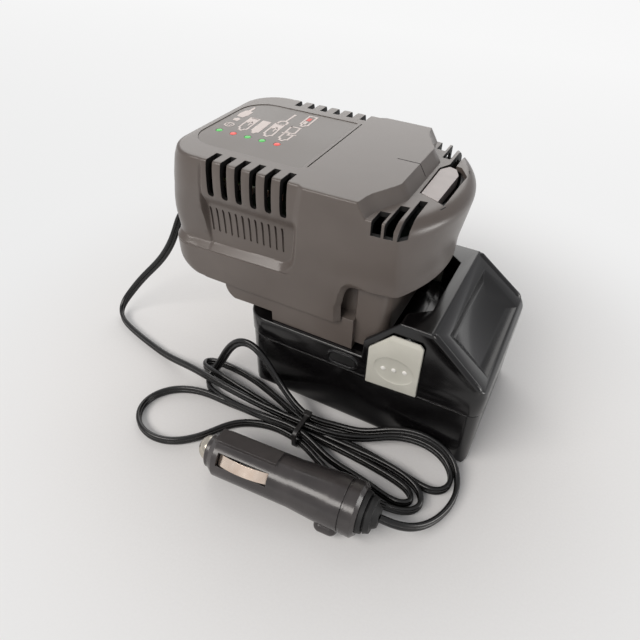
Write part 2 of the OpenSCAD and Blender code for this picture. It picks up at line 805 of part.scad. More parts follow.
module in_plug() {
    translate(plug_pos) rotate([0, -plug_tilt, plug_yaw]) children();
}

module disc_u(u0, u1, r0, r1 = undef) {
    translate([u0, 0, 0]) rotate([0, 90, 0]) cylinder(h = u1 - u0, r1 = r0, r2 = is_undef(r1) ? r0 : r1);
}

// turned about the plug's axis to where the side contacts lie
module rolled() {
    rotate([-leaf_roll, 0, 0]) children();
}

module leaf_slot() {
    block([leaf_u - 0.6, -plug_r - 5, -leaf_w / 2 - 0.4],
          [leaf_u + leaf_l + 0.6, -bore_r + 1, leaf_w / 2 + 0.4]);
}

// a round-ended lug that runs back from u = 0
module lug() {
    sphere(lug_r);
    translate([-lug_l, 0, 0]) sphere(lug_r);
    translate([-lug_l, 0, 0]) rotate([0, 90, 0]) cylinder(h = lug_l, r = lug_r);
}

module plug_barrel() {
    color("black") in_plug() difference() {
        union() {
            disc_u(barrel_u, barrel_u + 3, plug_r - 2, plug_r);
            disc_u(barrel_u + 3 - eps, tail_u - 24, plug_r);
            disc_u(tail_u - 24 - eps, tail_u - 6, plug_r, plug_rear_r);
            disc_u(tail_u - 6 - eps, tail_u, plug_rear_r);
            // flat raised rib along the top
            rotate([-rib_roll, 0, 0])
                block([barrel_u + 2, -rib_w / 2, 0], [barrel_u + rib_l, rib_w / 2, plug_r + rib_t]);
            // rounded lug low on the near side
            rotate([lug_roll, 0, 0]) translate([tail_u - lug_r - 0.2, -plug_rear_r + 0.2, 0]) lug();
        }
        disc_u(barrel_u - 1, tail_u + 1, bore_r);
        rolled() each_side() leaf_slot();
        rolled() each_side() block([leaf_u + leaf_l + 0.5, -bore_r - leaf_seat - 0.05, -leaf_w / 2 - 0.05],
                                   [leaf_u + leaf_l + leaf_tail + 0.4, -bore_r + 1, leaf_w / 2 + 0.05]);
    }
}

module plug_nose_cap() {
    color("black") in_plug() difference() {
        union() {
            disc_u(nose_u, nose_u + 0.6, bore_r - 0.6, bore_r);
            disc_u(nose_u + 0.6 - eps, barrel_u - seat, bore_r);
            disc_u(barrel_u - 0.2, barrel_u + sleeve_l, bore_r - 0.03);
        }
        disc_u(nose_u - 1, barrel_u + 9, tip_d / 2 + 0.05);
        disc_u(nose_u + cap_t, barrel_u + 9, cap_in_r);
    }
}

module plug_tip_contact() {
    color("silver") in_plug() {
        translate([tip_d / 2, 0, 0]) intersection() {
            sphere(tip_d / 2);
            translate([-tip_d, -tip_d, -tip_d]) cube([tip_d + eps, 2 * tip_d, 2 * tip_d]);
        }
        disc_u(tip_d / 2, nose_u + cap_t + 0.1, tip_d / 2);
        disc_u(nose_u + cap_t + 0.1, nose_u + cap_t + flange_t, flange_r);
        disc_u(nose_u + 3, fuse_u - 1 - tip_travel, 1.4);
    }
}

module coil_ring(r, wire) {
    rotate_extrude() translate([r, 0]) circle(wire / 2, $fn = 16);
}

module plug_tip_spring() {
    color("silver") in_plug() for (i = [0:tip_spring_turns]) {
        translate([tip_spring_u + i * (fuse_u - 0.7 - tip_spring_u) / tip_spring_turns, 0, 0])
            rotate([0, 90, 0]) coil_ring(2.6, 0.7);
    }
}

module plug_fuse() {
    color("white") in_plug() {
        disc_u(fuse_u, fuse_u + fuse_l, fuse_d / 2);
        // contact plate behind the fuse, seated in the barrel
        disc_u(fuse_u + fuse_l - eps, fuse_u + fuse_l + 1.5, bore_r - 0.05);
    }
}

// a bowed spring contact, flat where it seats in the barrel
module leaf_right() {
    block([leaf_u + leaf_l - 1, -bore_r - leaf_seat, -leaf_w / 2],
          [leaf_u + leaf_l + leaf_tail, -bore_r - leaf_seat + leaf_t, leaf_w / 2]);
    translate([leaf_u + leaf_l / 2, leaf_bow_r - plug_r - leaf_proud, -leaf_w / 2])
        linear_extrude(leaf_w) polygon(concat(
        arc(0, 0, leaf_bow_r, -90 + leaf_bow_a, -90 - leaf_bow_a, 12),
        arc(0, 0, leaf_bow_r - leaf_t, -90 - leaf_bow_a, -90 + leaf_bow_a, 12)
    ));
}

module plug_side_contact_near() {
    color("rosybrown") in_plug() rolled() leaf_right();
}

module plug_side_contact_far() {
    color("rosybrown") in_plug() rolled() mirror([0, 1, 0]) leaf_right();
}

module plug_tail_cap() {
    color("black") in_plug() difference() {
        union() {
            disc_u(tail_u + seat, tail_u + 1.2, plug_rear_r - 0.5);
            disc_u(tail_u + 1.2 - eps, relief_u - 1.5, plug_rear_r);
            disc_u(relief_u - 1.5 - eps, relief_u, plug_rear_r, plug_rear_r - 1.5);
            disc_u(tail_u - 6, tail_u + 1, bore_r - 0.03);
        }
        disc_u(tail_u - 7, relief_u - 3, bore_r - 2);
        disc_u(relief_u - 4, relief_u + 1, 4.05);
    }
}

module plug_strain_relief() {
    color("black") in_plug() {
        disc_u(relief_u - 3.6, relief_u + 0.6, 4);
        disc_u(relief_u + seat, relief_u + 2.1, 9.2, 8.8);
        disc_u(relief_u + 2.1 - eps, relief_u + 3.1, 6.5);
        disc_u(relief_u + 3.1 - eps, relief_u + 5.3, 8.2, 7.4);
        disc_u(relief_u + 5.3 - eps, plug_l, 5.6, 4.2);
    }
}

// ---- battery pack ----

module pack_plan(t) {
    plan(pack_x0 + t, pack_x1 - t, pack_w - 2 * t, pack_back_r - t, pack_front_r - t);
}

module pack_edges(t) {
    r = pack_edge_r;
    along_x(pack_x0, pack_x1) polygon(both_sides(concat(
        arc(pack_w / 2 - r - t, r, r, -90, 0), [[pack_w / 2 - t, pack_h + 5]])));
}

module pack_end_edges(t) {
    r = pack_edge_r;
    across_y(-pack_w, pack_w) polygon(concat(
        arc(pack_x1 - r - t, r, r, -90, 0), [[pack_x1 - t, pack_h + 5], [pack_x0 + t, pack_h + 5]],
        arc(pack_x0 + pack_heel_r + t, pack_heel_r, pack_heel_r, 180, 270)));
}

module pack_posts(z0, z1, d) {
    for (x = [pack_x0 + pack_wall + pack_post_back, pack_x1 - pack_wall - pack_post_front], s = [-1, 1]) {
        translate([x, s * (pack_w / 2 - pack_wall - pack_post_in), z0]) cylinder(h = z1 - z0, d = d);
    }
}

module pack_lower_case() {
    color("black") difference() {
        intersection() {
            linear_extrude(seam_z - seat) pack_plan(seam_step);
            pack_edges(seam_step);
            pack_end_edges(seam_step);
        }
        difference() {
            translate([0, 0, pack_wall]) intersection() {
                linear_extrude(seam_z) pack_plan(pack_wall + seam_step);
                pack_end_edges(pack_wall + seam_step);
            }
            pack_posts(0, seam_z + 1, screw_post_d);
        }
        pack_posts(-1, seam_z + 1, screw_d + 0.2);
        pack_posts(-1, pack_screw_z, screw_head_d + 0.4);
        each_side() button_opening();
    }
}

// outline of a release button in (X, Z), grown by g
module button_outline(g) {
    polygon([
        [button_x0 - g, button_z0 - g], [button_x1 + g, button_z0 - g], [button_x1 + g, button_z1 - 1.5 + g],
        [button_x1 - 1.5 + g, button_z1 + g], [button_x0 + 9 - g / 2, button_z1 + g],
        [button_x0 - g, button_z1 - 10 + g / 2]
    ]);
}

module button_opening() {
    across_y(-pack_w, -button_deep) button_outline(button_gap);
}

// outline of the pack's raised front in (X, Z)
module front_outline() {
    polygon([
        [hood_x0, shoulder_z - 2], [hood_x0, hood_z0], [hood_x1, pack_h], [ridge_x, pack_h],
        [pack_x1 - 1.5, slope_z], [pack_x1, slope_z - 2], [pack_x1, shoulder_z - 2]
    ]);
}

module upper_taper() {
    along_x(pack_x0, pack_x1) polygon(both_sides([
        [pack_w / 2, seam_z - 1], [pack_w / 2, shoulder_z + 3], [ridge_w / 2, pack_h + 0.5]
    ]));
}

module pack_upper_case() {
    color("black") difference() {
        union() {
            translate([0, 0, seam_z]) linear_extrude(shoulder_z - seam_z) pack_plan(0);
            intersection() {
                across_y(-pack_w, pack_w) front_outline();
                linear_extrude(pack_h + 5) pack_plan(0);
                upper_taper();
            }
            // T rail
            block([rail_x0, -rail_neck_w / 2, shoulder_z - 1], [rail_x1, rail_neck_w / 2, rail_z1 + 1]);
            block([rail_x0, -rail_w / 2, rail_z1], [rail_x1, rail_w / 2, rail_z2]);
            // raised rim of the side port
            each_side() across_y(-pack_w / 2 - 0.6, -pack_w / 2 + 1) port_outline(1.2);
        }
        // inside, under the shoulder
        difference() {
            translate([0, 0, seam_z - 1]) linear_extrude(pack_top_in - seam_z + 1) pack_plan(pack_wall);
            pack_posts(seam_z, pack_top_in + 1, screw_post_d);
        }
        pack_posts(seam_z - 1, pack_top_in - 1, screw_d + 0.04);
        // pocket that takes the charger's boss, open to the pack's back
        block([hood_x0 - 5, -pocket_w / 2, shoulder_z], [hood_x1, pocket_w / 2, pack_h + 5]);
        // contact well in front of the rail
        block([hood_x0, -cavity_w / 2, cavity_z], [cavity_x1, cavity_w / 2, pack_h + 5]);
        // hollows behind the release buttons
        each_side() block([hood_x1 + 1, -button_in - 1, pack_top_in - 1],
                          [ridge_x - 2, -spring_y1 + seat, pack_h - 5]);
        each_side() button_opening();
        // blade slots, open at the pack's back
        for (y = blade_ys) {
            block([rail_x0 - 5, y - blade_slot_w / 2, pack_top_in - 1],
                  [rail_x0 + blade_slot_l, y + blade_slot_w / 2, rail_z2 + 1]);
        }
        block([pack_x0 - 1, -rail_neck_w / 2 - 1, shoulder_z], [rail_x0, rail_neck_w / 2 + 1, rail_z2 + 1]);
        // finger scoop, a shallow cylinder across the slope
        scoop();
        // hollow of the slope
        across_y(-scoop_w / 2 + 6, scoop_w / 2 - 6) polygon([
            [cavity_x1 + 3.5, pack_top_in - 1], [cavity_x1 + 3.5, pack_h - 11], [ridge_x + 2, pack_h - 11],
            [pack_x1 - 5, slope_z - 5.5], [pack_x1 - 5, pack_top_in - 1]]);
        each_side() across_y(-pack_w, -pack_w / 2 + pack_wall + 1) port_outline(0);
    }
}

module scoop() {
    slope_a = atan2(slope_drop, slope_l - 1.5);
    reach = norm([slope_drop, slope_l - 1.5]);
    half = reach * 0.4;
    r = (half * half + scoop_d * scoop_d) / (2 * scoop_d);
    translate([ridge_x, 0, pack_h]) rotate([0, slope_a, 0])
        translate([reach * 0.58, -scoop_w / 2, r - scoop_d]) rotate([-90, 0, 0]) cylinder(h = scoop_w, r = r);
}

// oval of the side port in (X, Z), grown by g
module port_outline(g) {
    x = hood_x0 - 9;
    z = (seam_z + shoulder_z) / 2;
    translate([x - 5, z]) circle(2.6 + g);
    translate([x + 5, z]) circle(2.6 + g);
    translate([x - 5, z - 2.6 - g]) square([10, 5.2 + 2 * g]);
}

module side_port_bung() {
    color("black") each_side() {
        across_y(-pack_w / 2 - 0.3, -pack_w / 2 + pack_wall) port_outline(-0.1);
    }
}

module cell_places() {
    for (i = [0:cell_n - 1], j = [0, 1]) {
        translate([holder_x0 + 0.8 + (i + 0.5) * cell_pitch, 0, row_z + j * row_pitch]) children();
    }
}

module battery_cells() {
    color("mediumseagreen") cell_places() rotate([90, 0, 0]) cylinder(h = cell_l, d = cell_d, center = true);
}

module holder_right() {
    difference() {
        block([holder_x0, -cell_l / 2, holder_z0], [holder_x0 + holder_l, -cell_l / 2 + holder_t, holder_z1]);
        cell_places() rotate([90, 0, 0]) cylinder(h = cell_l + 2, d = cell_d + 0.1, center = true);
    }
}

module cell_holder_right() {
    color("white") holder_right();
}

module cell_holder_left() {
    color("white") mirror([0, 1, 0]) holder_right();
}

module cell_tabs() {
    color("silver") each_side() {
        for (j = [0, 1]) {
            block([holder_x0 + 4, -cell_l / 2 - tab_t - seat, row_z + j * row_pitch - 4],
                  [holder_x0 + holder_l - 4, -cell_l / 2 - seat, row_z + j * row_pitch + 4]);
        }
    }
}

module protection_board() {
    color("darkgreen") difference() {
        block([rail_x0 + 4, -board_w / 2, board_z],
              [holder_x0 + holder_l - 20, board_w / 2, board_z + board_t]);
        for (y = blade_ys) {
            block([rail_x0 + 6, y - pin_w / 2, board_z - 1], [rail_x0 + 8, y + pin_w / 2, board_z + 2]);
        }
    }
}

module pack_terminals() {
    color("tan") for (y = blade_ys) {
        for (s = [-1, 1]) {
            translate([0, y + s * (blade_t / 2 + 0.35), 0])
                block([rail_x0 + 5, -0.3, board_z + board_t + seat], [rail_x0 + 14, 0.3, blade_z0 + blade_h]);
        }
        block([rail_x0 + 5, y - blade_t / 2 - 0.6, board_z + board_t + seat],
              [rail_x0 + 14, y + blade_t / 2 + 0.6, board_z + board_t + 1.5]);
        // pin soldered into the board
        block([rail_x0 + 6.1, y - pin_w / 2 + 0.1, board_z + 0.2],
              [rail_x0 + 7.9, y + pin_w / 2 - 0.1, board_z + board_t + 1]);
    }
}

module pack_screws() {
    color("silver") {
        pack_posts(pack_screw_z - seat - screw_head_h, pack_screw_z - seat, screw_head_d);
        pack_posts(pack_screw_z - 1, pack_top_in - 1.5, screw_d);
    }
}

// a release button on the right side, with its tooth and spring seat
module button_right() {
    across_y(-button_out, -button_out + button_skin) button_outline(0);
    // tooth that rides in the foot's groove
    block([tooth_x, -button_out + 0.5, tooth_z], [tooth_x + tooth_w, -tooth_y, tooth_z + tooth_h]);
    // seat inside the spring
    translate([spring_x, -button_in + 2, spring_z]) rotate([90, 0, 0])
        cylinder(h = 2.5, d = spring_od - 2 * spring_wire - 0.6);
}

module release_button_right() {
    color("lightgray") button_right();
}

module release_button_left() {
    color("lightgray") mirror([0, 1, 0]) button_right();
}

module spring_right() {
    for (i = [0:spring_turns]) {
        translate([spring_x, -button_in + seat + spring_wire / 2
                   + i * (button_in - spring_y1 - 2 * seat - spring_wire) / spring_turns, spring_z])
            rotate([90, 0, 0]) coil_ring(spring_od / 2 - spring_wire / 2, spring_wire);
    }
}

module button_spring_right() {
    color("silver") spring_right();
}

module button_spring_left() {
    color("silver") mirror([0, 1, 0]) spring_right();
}

top_housing();
base_housing();
label_sheet();
lamp_light_pipes();
status_lamps();
deck_lens();
circuit_board();
power_coil();
smoothing_capacitors();
heat_sink();
power_transistors();
terminal_block();
contact_blades();
output_leads();
housing_screws();
cord_gland();
supply_cord();
cable_tie();
plug_barrel();
plug_nose_cap();
plug_tail_cap();
plug_strain_relief();
plug_tip_contact();
plug_tip_spring();
plug_fuse();
plug_side_contact_near();
plug_side_contact_far();
pack_upper_case();
pack_lower_case();
battery_cells();
cell_holder_right();
cell_holder_left();
cell_tabs();
protection_board();
pack_terminals();
side_port_bung();
pack_screws();
release_button_right();
release_button_left();
button_spring_right();
button_spring_left();
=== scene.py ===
"""Vehicle battery charger docked on its slide-on tool pack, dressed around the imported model."""
import math

import bmesh
import bpy
import numpy as np
from mathutils import Matrix, Vector
from mathutils.bvhtree import BVHTree


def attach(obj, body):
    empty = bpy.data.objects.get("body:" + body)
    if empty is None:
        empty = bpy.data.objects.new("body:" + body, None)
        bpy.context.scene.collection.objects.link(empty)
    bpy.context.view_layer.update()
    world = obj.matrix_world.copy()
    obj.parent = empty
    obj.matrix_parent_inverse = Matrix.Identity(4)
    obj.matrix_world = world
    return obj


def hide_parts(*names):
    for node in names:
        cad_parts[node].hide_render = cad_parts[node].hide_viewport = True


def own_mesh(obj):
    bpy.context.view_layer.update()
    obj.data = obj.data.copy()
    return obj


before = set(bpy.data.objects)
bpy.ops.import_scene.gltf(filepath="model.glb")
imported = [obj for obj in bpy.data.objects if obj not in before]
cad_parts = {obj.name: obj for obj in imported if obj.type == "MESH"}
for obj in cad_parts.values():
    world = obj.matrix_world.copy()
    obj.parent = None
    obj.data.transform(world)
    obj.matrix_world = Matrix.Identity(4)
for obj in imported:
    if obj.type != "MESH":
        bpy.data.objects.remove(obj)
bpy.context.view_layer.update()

# ---- camera ----
# The viewer looks down on the charger's right side and front from a short distance,
# so the head narrows towards its back. Distances in this file are in millimetres
# until a mesh or a light is made.
MM = 0.001
eye = Vector((85.969, -204.086, 219.186)) * MM
look = Vector((-0.34107, 0.67603, -0.65319))
level = Vector((0.88335, 0.46814, 0.02327))

camera = bpy.data.objects.new("camera", bpy.data.cameras.new("camera"))
camera.data.sensor_width = 36
camera.data.lens = 30.867
camera.data.clip_start = 0.01
overhead = level.cross(look).normalized()
camera.matrix_world = Matrix((
    (level.x, overhead.x, -look.x, eye.x),
    (level.y, overhead.y, -look.y, eye.y),
    (level.z, overhead.z, -look.z, eye.z),
    (0, 0, 0, 1)))
bpy.context.scene.collection.objects.link(camera)
bpy.context.scene.camera = camera

# ---- supply cord ----
# Flat twin lead: two stranded conductors side by side in one soft PVC jacket, 4.6 by 2.4 mm.
# It leaves the head's back, is gathered in loops under one tie, and ends in the vehicle plug.
cord_width = 4.6
cord_thickness = 2.4
cord_route = np.array([
    [-95, 3, 72.5], [-103, -2, 65.5], [-106, -9, 51], [-114, -13, 37], [-126, -19, 23],
    [-135, -25.5, 10], [-137, -31, 4.4], [-131, -36.5, 2.5], [-114, -42.5, 2.4],
    [-88, -48.5, 2.6], [-66, -52.5, 7], [-45, -55.8, 8.6], [-18, -57.5, 8.4],
    [5, -57.4, 8.4], [20, -55, 6.5], [34, -49.5, 6.2], [46, -42, 7.2], [58, -39.8, 8],
    [68, -40.5, 6.4], [75.5, -45, 3.8], [78, -52.5, 2.4], [72.5, -59, 2.4], [60, -57.5, 2.4],
    [36, -54, 2.4],
    [5, -53.4, 3.6], [-18, -45.6, 3], [-38, -39.8, 2.6], [-58, -38.5, 2.4], [-67, -40.5, 2.4],
    [-65, -45, 3], [-50, -50.3, 8], [-30, -52, 5.5],
    [5, -56, 3.6], [28, -56.4, 4.2], [52, -57.5, 4.6], [65, -60.8, 3.8], [70.4, -67, 2.6],
    [66, -73.5, 2.4], [54, -75.6, 2.4], [30, -73.6, 2.6],
    [5, -63.8, 3.6], [-14, -63, 2.6], [-28, -70, 2.4], [-37, -84, 2.4], [-48, -93.4, 2.4],
    [-60, -95.5, 2.4], [-71, -90.5, 2.4], [-75.5, -80, 2.4], [-70, -68, 2.4], [-57, -61, 2.4],
    [-36, -60, 2.4],
    [5, -58.6, 3.6], [30, -59, 3], [52, -60.8, 2.4], [64, -64, 2.4], [66.3, -69, 2.4],
    [59, -72, 2.4], [44, -69, 2.6], [24, -67, 4],
    [5, -62, 8.4], [-14, -62.4, 7.4], [-36, -60, 3.4], [-53, -56.5, 2.4], [-57.8, -51.5, 2.6],
    [-56, -47, 5], [-52.5, -44.6, 11], [-48, -43.6, 21], [-41.5, -43, 29.5], [-34, -43.2, 32.8],
    [-26, -44, 28], [-14, -47, 16],
    [5, -53.2, 8.6], [18, -49.8, 6.8], [32, -47.3, 7], [44, -42.5, 11.2], [56, -39.8, 13],
    [67, -39.8, 11.4], [75.5, -42.5, 7], [80.6, -50.5, 3.4], [80.9, -60, 2.5],
    [77.8, -70.5, 3.2], [72.8, -79.2, 5.8], [66.5, -85, 9.4], [61, -87.3, 12], [57, -87.5, 12.5]])


def linear(hexcode):
    """The colour that a surface colour written as sRGB hex has in linear light."""
    parts = [int(hexcode[i:i + 2], 16) / 255 for i in (1, 3, 5)]
    return [c / 12.92 if c <= 0.04045 else ((c + 0.055) / 1.055) ** 2.4 for c in parts] + [1]


def add(tree, kind, inputs=(), **settings):
    """One shader node with its settings; a socket among its inputs is linked, anything else is set."""
    node = tree.nodes.new("ShaderNode" + kind)
    for name, value in settings.items():
        setattr(node, name, value)
    for name, value in dict(inputs).items():
        if isinstance(value, bpy.types.NodeSocket):
            tree.links.new(value, node.inputs[name])
        else:
            node.inputs[name].default_value = value
    return node


def blank(name):
    """A new material, its node tree, its shader, and the place on the object that patterns follow."""
    material = bpy.data.materials.new(name)
    material.use_nodes = True
    tree = material.node_tree
    return material, tree, tree.nodes["Principled BSDF"], add(tree, "TexCoord").outputs["Object"]


def feed(shader, sockets):
    """Links outputs to the named sockets of a shader."""
    for name, output in sockets.items():
        shader.id_data.links.new(output, shader.inputs[name])


def tinted(tree, pattern, low, high):
    """A ramp between two colours, given as sRGB hex, that follows a pattern."""
    node = add(tree, "ValToRGB", {"Fac": pattern.outputs["Fac"]})
    for stop, colour in zip(node.color_ramp.elements, (low, high)):
        stop.color = linear(colour)
    return node


def raised(tree, fine, rounding, depth, strength=1.0):
    """Edges with a slight rounding under a fine grain, in millimetres."""
    edge = add(tree, "Bevel", {"Radius": rounding * MM}, samples=4)
    return add(tree, "Bump", {"Height": fine.outputs["Fac"], "Normal": edge.outputs["Normal"],
                              "Distance": depth * MM, "Strength": strength})


def plastic(name, dark, pale, roughness, grain, depth, rounding=0.35, blotch=22, spread=0.05):
    """Moulded plastic: a fine moulded-in grain, a faint cloudiness in its colour and its gloss,
    and edges that the tool leaves slightly round. Grain, depth, rounding and blotch are in millimetres."""
    material, tree, shader, place = blank(name)
    cloud = add(tree, "TexNoise", {"Vector": place, "Scale": 1000 / blotch, "Detail": 3})
    fine = add(tree, "TexNoise", {"Vector": place, "Scale": 1000 / grain, "Detail": 2})
    tint = tinted(tree, cloud, dark, pale)
    tint.color_ramp.elements[0].position = 0.35
    tint.color_ramp.elements[1].position = 0.7
    gloss = add(tree, "MapRange", {"Value": cloud.outputs["Fac"], "From Min": 0.3, "From Max": 0.7,
                                   "To Min": roughness - spread, "To Max": roughness + spread})
    relief = raised(tree, fine, rounding, depth, 0.6)
    feed(shader, {"Base Color": tint.outputs["Color"], "Roughness": gloss.outputs["Result"],
                  "Normal": relief.outputs["Normal"]})
    shader.inputs["IOR"].default_value = 1.52
    return material


def shade_smooth(mesh, sharp):
    """Shades a mesh smooth but for edges that turn by more than the given angle."""
    mesh.shade_smooth()
    mesh.set_sharp_from_angle(angle=math.radians(sharp))


def piece(name, points, faces, material, body, slot=None, smooth=40):
    """An object from points in millimetres and faces, riding on a body with its material; the slot is not
    used.
    """
    mesh = bpy.data.meshes.new(name)
    mesh.from_pydata([tuple(float(c) * MM for c in p) for p in points], [], faces)
    mesh.validate()
    made = bmesh.new()
    made.from_mesh(mesh)
    bmesh.ops.recalc_face_normals(made, faces=made.faces)
    made.to_mesh(mesh)
    made.free()
    thing = bpy.data.objects.new(name, mesh)
    bpy.context.scene.collection.objects.link(thing)
    if material:
        mesh.materials.append(material)
    if smooth:
        shade_smooth(mesh, smooth)
    if body:
        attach(thing, body)
    return thing


def tube_faces(rings, around, ends="capped"):
    """Quads that join rings of points; its ends are capped, or left open, or joined into a loop."""
    faces = [(r * around + k, r * around + (k + 1) % around,
              (r + 1) % rings * around + (k + 1) % around, (r + 1) % rings * around + k)
             for r in range(rings if ends == "joined" else rings - 1) for k in range(around)]
    if ends == "capped":
        faces.append(tuple(range(around - 1, -1, -1)))
        faces.append(tuple((rings - 1) * around + k for k in range(around)))
    return faces


def between(t, a, b, slope_a, slope_b, span):
    """The smooth curve from a to b over a span, with a slope at each end, at the share t of the way."""
    return ((2 * t ** 3 - 3 * t ** 2 + 1) * a + (t ** 3 - 2 * t ** 2 + t) * slope_a * span
            + (3 * t ** 2 - 2 * t ** 3) * b + (t ** 3 - t ** 2) * slope_b * span)


def travelled(line):
    """How far along a line each of its points lies."""
    return np.concatenate([[0], np.cumsum(np.linalg.norm(np.diff(line, axis=0), axis=1))])


def headings(line):
    """The unit direction of a line at each of its points."""
    ways = [line[min(i + 1, len(line) - 1)] - line[max(i - 1, 0)] for i in range(len(line))]
    return [way / np.linalg.norm(way) for way in ways]


def hoop(centre, radius, side, other, around):
    """Points round a circle in the plane of two unit vectors."""
    return [centre + radius * (math.cos(a) * side + math.sin(a) * other)
            for a in np.linspace(0, 2 * math.pi, around, endpoint=False)]


def eased_path(points, steps):
    """A smooth line through the points, with the given number of steps between two of them."""
    ends = np.vstack([2 * points[0] - points[1], points, 2 * points[-1] - points[-2]])
    line = []
    for i in range(1, len(ends) - 2):
        a, b, c, d = ends[i - 1:i + 3]
        ta, tb, tc = (max(np.linalg.norm(q - p), 1e-6) ** 0.5 for p, q in ((a, b), (b, c), (c, d)))
        slope_b = (b - a) / ta - (c - a) / (ta + tb) + (c - b) / tb
        slope_c = (c - b) / tb - (d - b) / (tb + tc) + (d - c) / tc
        line += [between(s, b, c, slope_b, slope_c, tb) for s in np.linspace(0, 1, steps, endpoint=False)]
    return np.array(line + [points[-1]])


def evened(line, step, rounds):
    """The line at even steps, with its turns eased out as a stiff jacket eases them; its ends stay."""
    run = travelled(line)
    even = np.linspace(0, run[-1], int(round(run[-1] / step)) + 1)
    line = np.stack([np.interp(even, run, line[:, k]) for k in range(3)], axis=1)
    for _ in range(rounds):
        line[1:-1] = (line[:-2] + 2 * line[1:-1] + line[2:]) / 4
    return line


cord_rest = 2.38  # the lead stands on edge, so this is where its middle lies above the floor
cord_line = evened(eased_path(cord_route, 8), 1.5, 20)
cord_line[:, 2] = np.maximum(cord_line[:, 2], cord_rest)
lobe = cord_thickness / 2
lobe_centre = (cord_width - cord_thickness) / 2
lobe_turns = [math.radians(a) for a in (-63, -48, -25, 0, 30, 60, 90, 120, 150, 180, 205, 228, 243)]
cord_section = [(lobe * math.cos(a), lobe_centre + lobe * math.sin(a)) for a in lobe_turns]
cord_section += [(-s, -v) for s, v in cord_section]
cord_points = []
for point, along in zip(cord_line, headings(cord_line)):
    across = np.cross([0, 0, 1], along)
    across /= np.linalg.norm(across)
    up = np.cross(along, across)
    cord_points += [point + s * across + v * up for s, v in cord_section]

# Soft PVC is extruded, so its skin is smooth with a low sheen and few marks.
soft_pvc = plastic("soft_pvc_extruded", "#080808", "#0f0e0e", 0.26, 1.4, 0.012, rounding=0.12, blotch=9)
cord = piece("supply_lead", cord_points, tube_faces(len(cord_line), len(cord_section)), soft_pvc,
             "charger", "cord_pvc", smooth=60)
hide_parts("supply_cord")

# ---- cable tie ----
# One black nylon strap, pulled tight round the bundled passes of the lead. It goes through its
# moulded head, and its tail is cut off flush.
tie_x, tie_y, tie_z = 5, -59.4, 6.35
tie_half = (8.35, 5.55)
tie_wide, tie_thick, tie_corner = 2.0, 1.1, 3.4
tie_head_half, tie_head_round = (1.9, 1.7, 1.1), 0.5


def rounded_rectangle(half_a, half_b, radius, steps=7):
    """Points round a rectangle with rounded corners, centred on the origin."""
    corners = ((1, 1, 0), (-1, 1, 90), (-1, -1, 180), (1, -1, 270))
    return [(ca * (half_a - radius) + radius * math.cos(math.radians(turn + 90 * s / steps)),
             cb * (half_b - radius) + radius * math.sin(math.radians(turn + 90 * s / steps)))
            for ca, cb, turn in corners for s in range(steps + 1)]


def joined(*parts):
    """Several (points, faces) pairs as one."""
    points, faces = [], []
    for more_points, more_faces in parts:
        faces += [tuple(len(points) + i for i in face) for face in more_faces]
        points += [tuple(p) for p in more_points]
    return points, faces


def loop_band(outline, inner, low, high):
    """A closed band between an outer and an inner outline, from low to high; each as (a, b, h)."""
    rings = ((outline, low), (outline, high), (inner, high), (inner, low))
    points = [(a, b, h) for ring, h in rings for a, b in ring]
    return points, tube_faces(len(rings), len(outline), "joined")


def round_box(centre, half, radius, steps=4):
    """A box with all its edges rounded, as stacked rounded outlines."""
    points, rings = [], 0
    for end in (-1, 1):
        for s in range(steps + 1):
            turn = math.radians(90 * (s if end < 0 else steps - s) / steps)
            inset = radius * (1 - math.sin(turn))
            height = half[2] - radius + radius * math.cos(turn)
            ring = rounded_rectangle(half[0] - inset, half[1] - inset, max(radius - inset, 0.05), steps)
            points += [(centre[0] + a, centre[1] + b, centre[2] + end * height) for a, b in ring]
            rings += 1
    return points, tube_faces(rings, len(ring))


band_points, band_faces = loop_band(
    *[rounded_rectangle(tie_half[0] - t, tie_half[1] - t, tie_corner - t) for t in (0, tie_thick)],
    -tie_wide / 2, tie_wide / 2)
band = [(tie_x + h, tie_y + a, tie_z + b) for a, b, h in band_points], band_faces
tie_head = round_box((tie_x, tie_y + 5.6, tie_z + tie_half[1] - 0.1), tie_head_half, tie_head_round)
nylon = plastic("nylon_moulded", "#141313", "#1d1b1b", 0.35, 2, 0.02, rounding=0.25)
tie = piece("cable_strap", *joined(band, tie_head), nylon, "charger", "tie_nylon")
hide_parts("cable_tie")

# ---- vehicle plug ----
# Barrel, nose cap and tail cap are glossy black phenolic, pressed and screwed together round a glass
# fuse. The tip is sprung and nickel plated, the side contacts are copper-plated leaves, and the strain
# reliefs at both ends of the lead are soft rubber.


def metal(name, dark, pale, roughness, grain=1.2, depth=0.01):
    """Bare or plated metal: drawn or turned, with a fine grain and slight tarnish."""
    material, tree, shader, place = blank(name)
    stain = add(tree, "TexNoise", {"Vector": place, "Scale": 1000 / 5, "Detail": 4})
    fine = add(tree, "TexNoise", {"Vector": place, "Scale": 1000 / grain})
    tone = tinted(tree, stain, dark, pale)
    rough = add(tree, "MapRange", {"Value": stain.outputs["Fac"], "To Min": roughness - 0.05,
                                   "To Max": roughness + 0.08})
    relief = raised(tree, fine, 0.15, depth)
    feed(shader, {"Base Color": tone.outputs["Color"], "Roughness": rough.outputs["Result"],
                  "Normal": relief.outputs["Normal"]})
    shader.inputs["Metallic"].default_value = 1
    return material


def dress(material, *nodes):
    """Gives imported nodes, which keep their shape, the finish of their real stuff."""
    for node in nodes:
        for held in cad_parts[node].material_slots:
            held.material = material


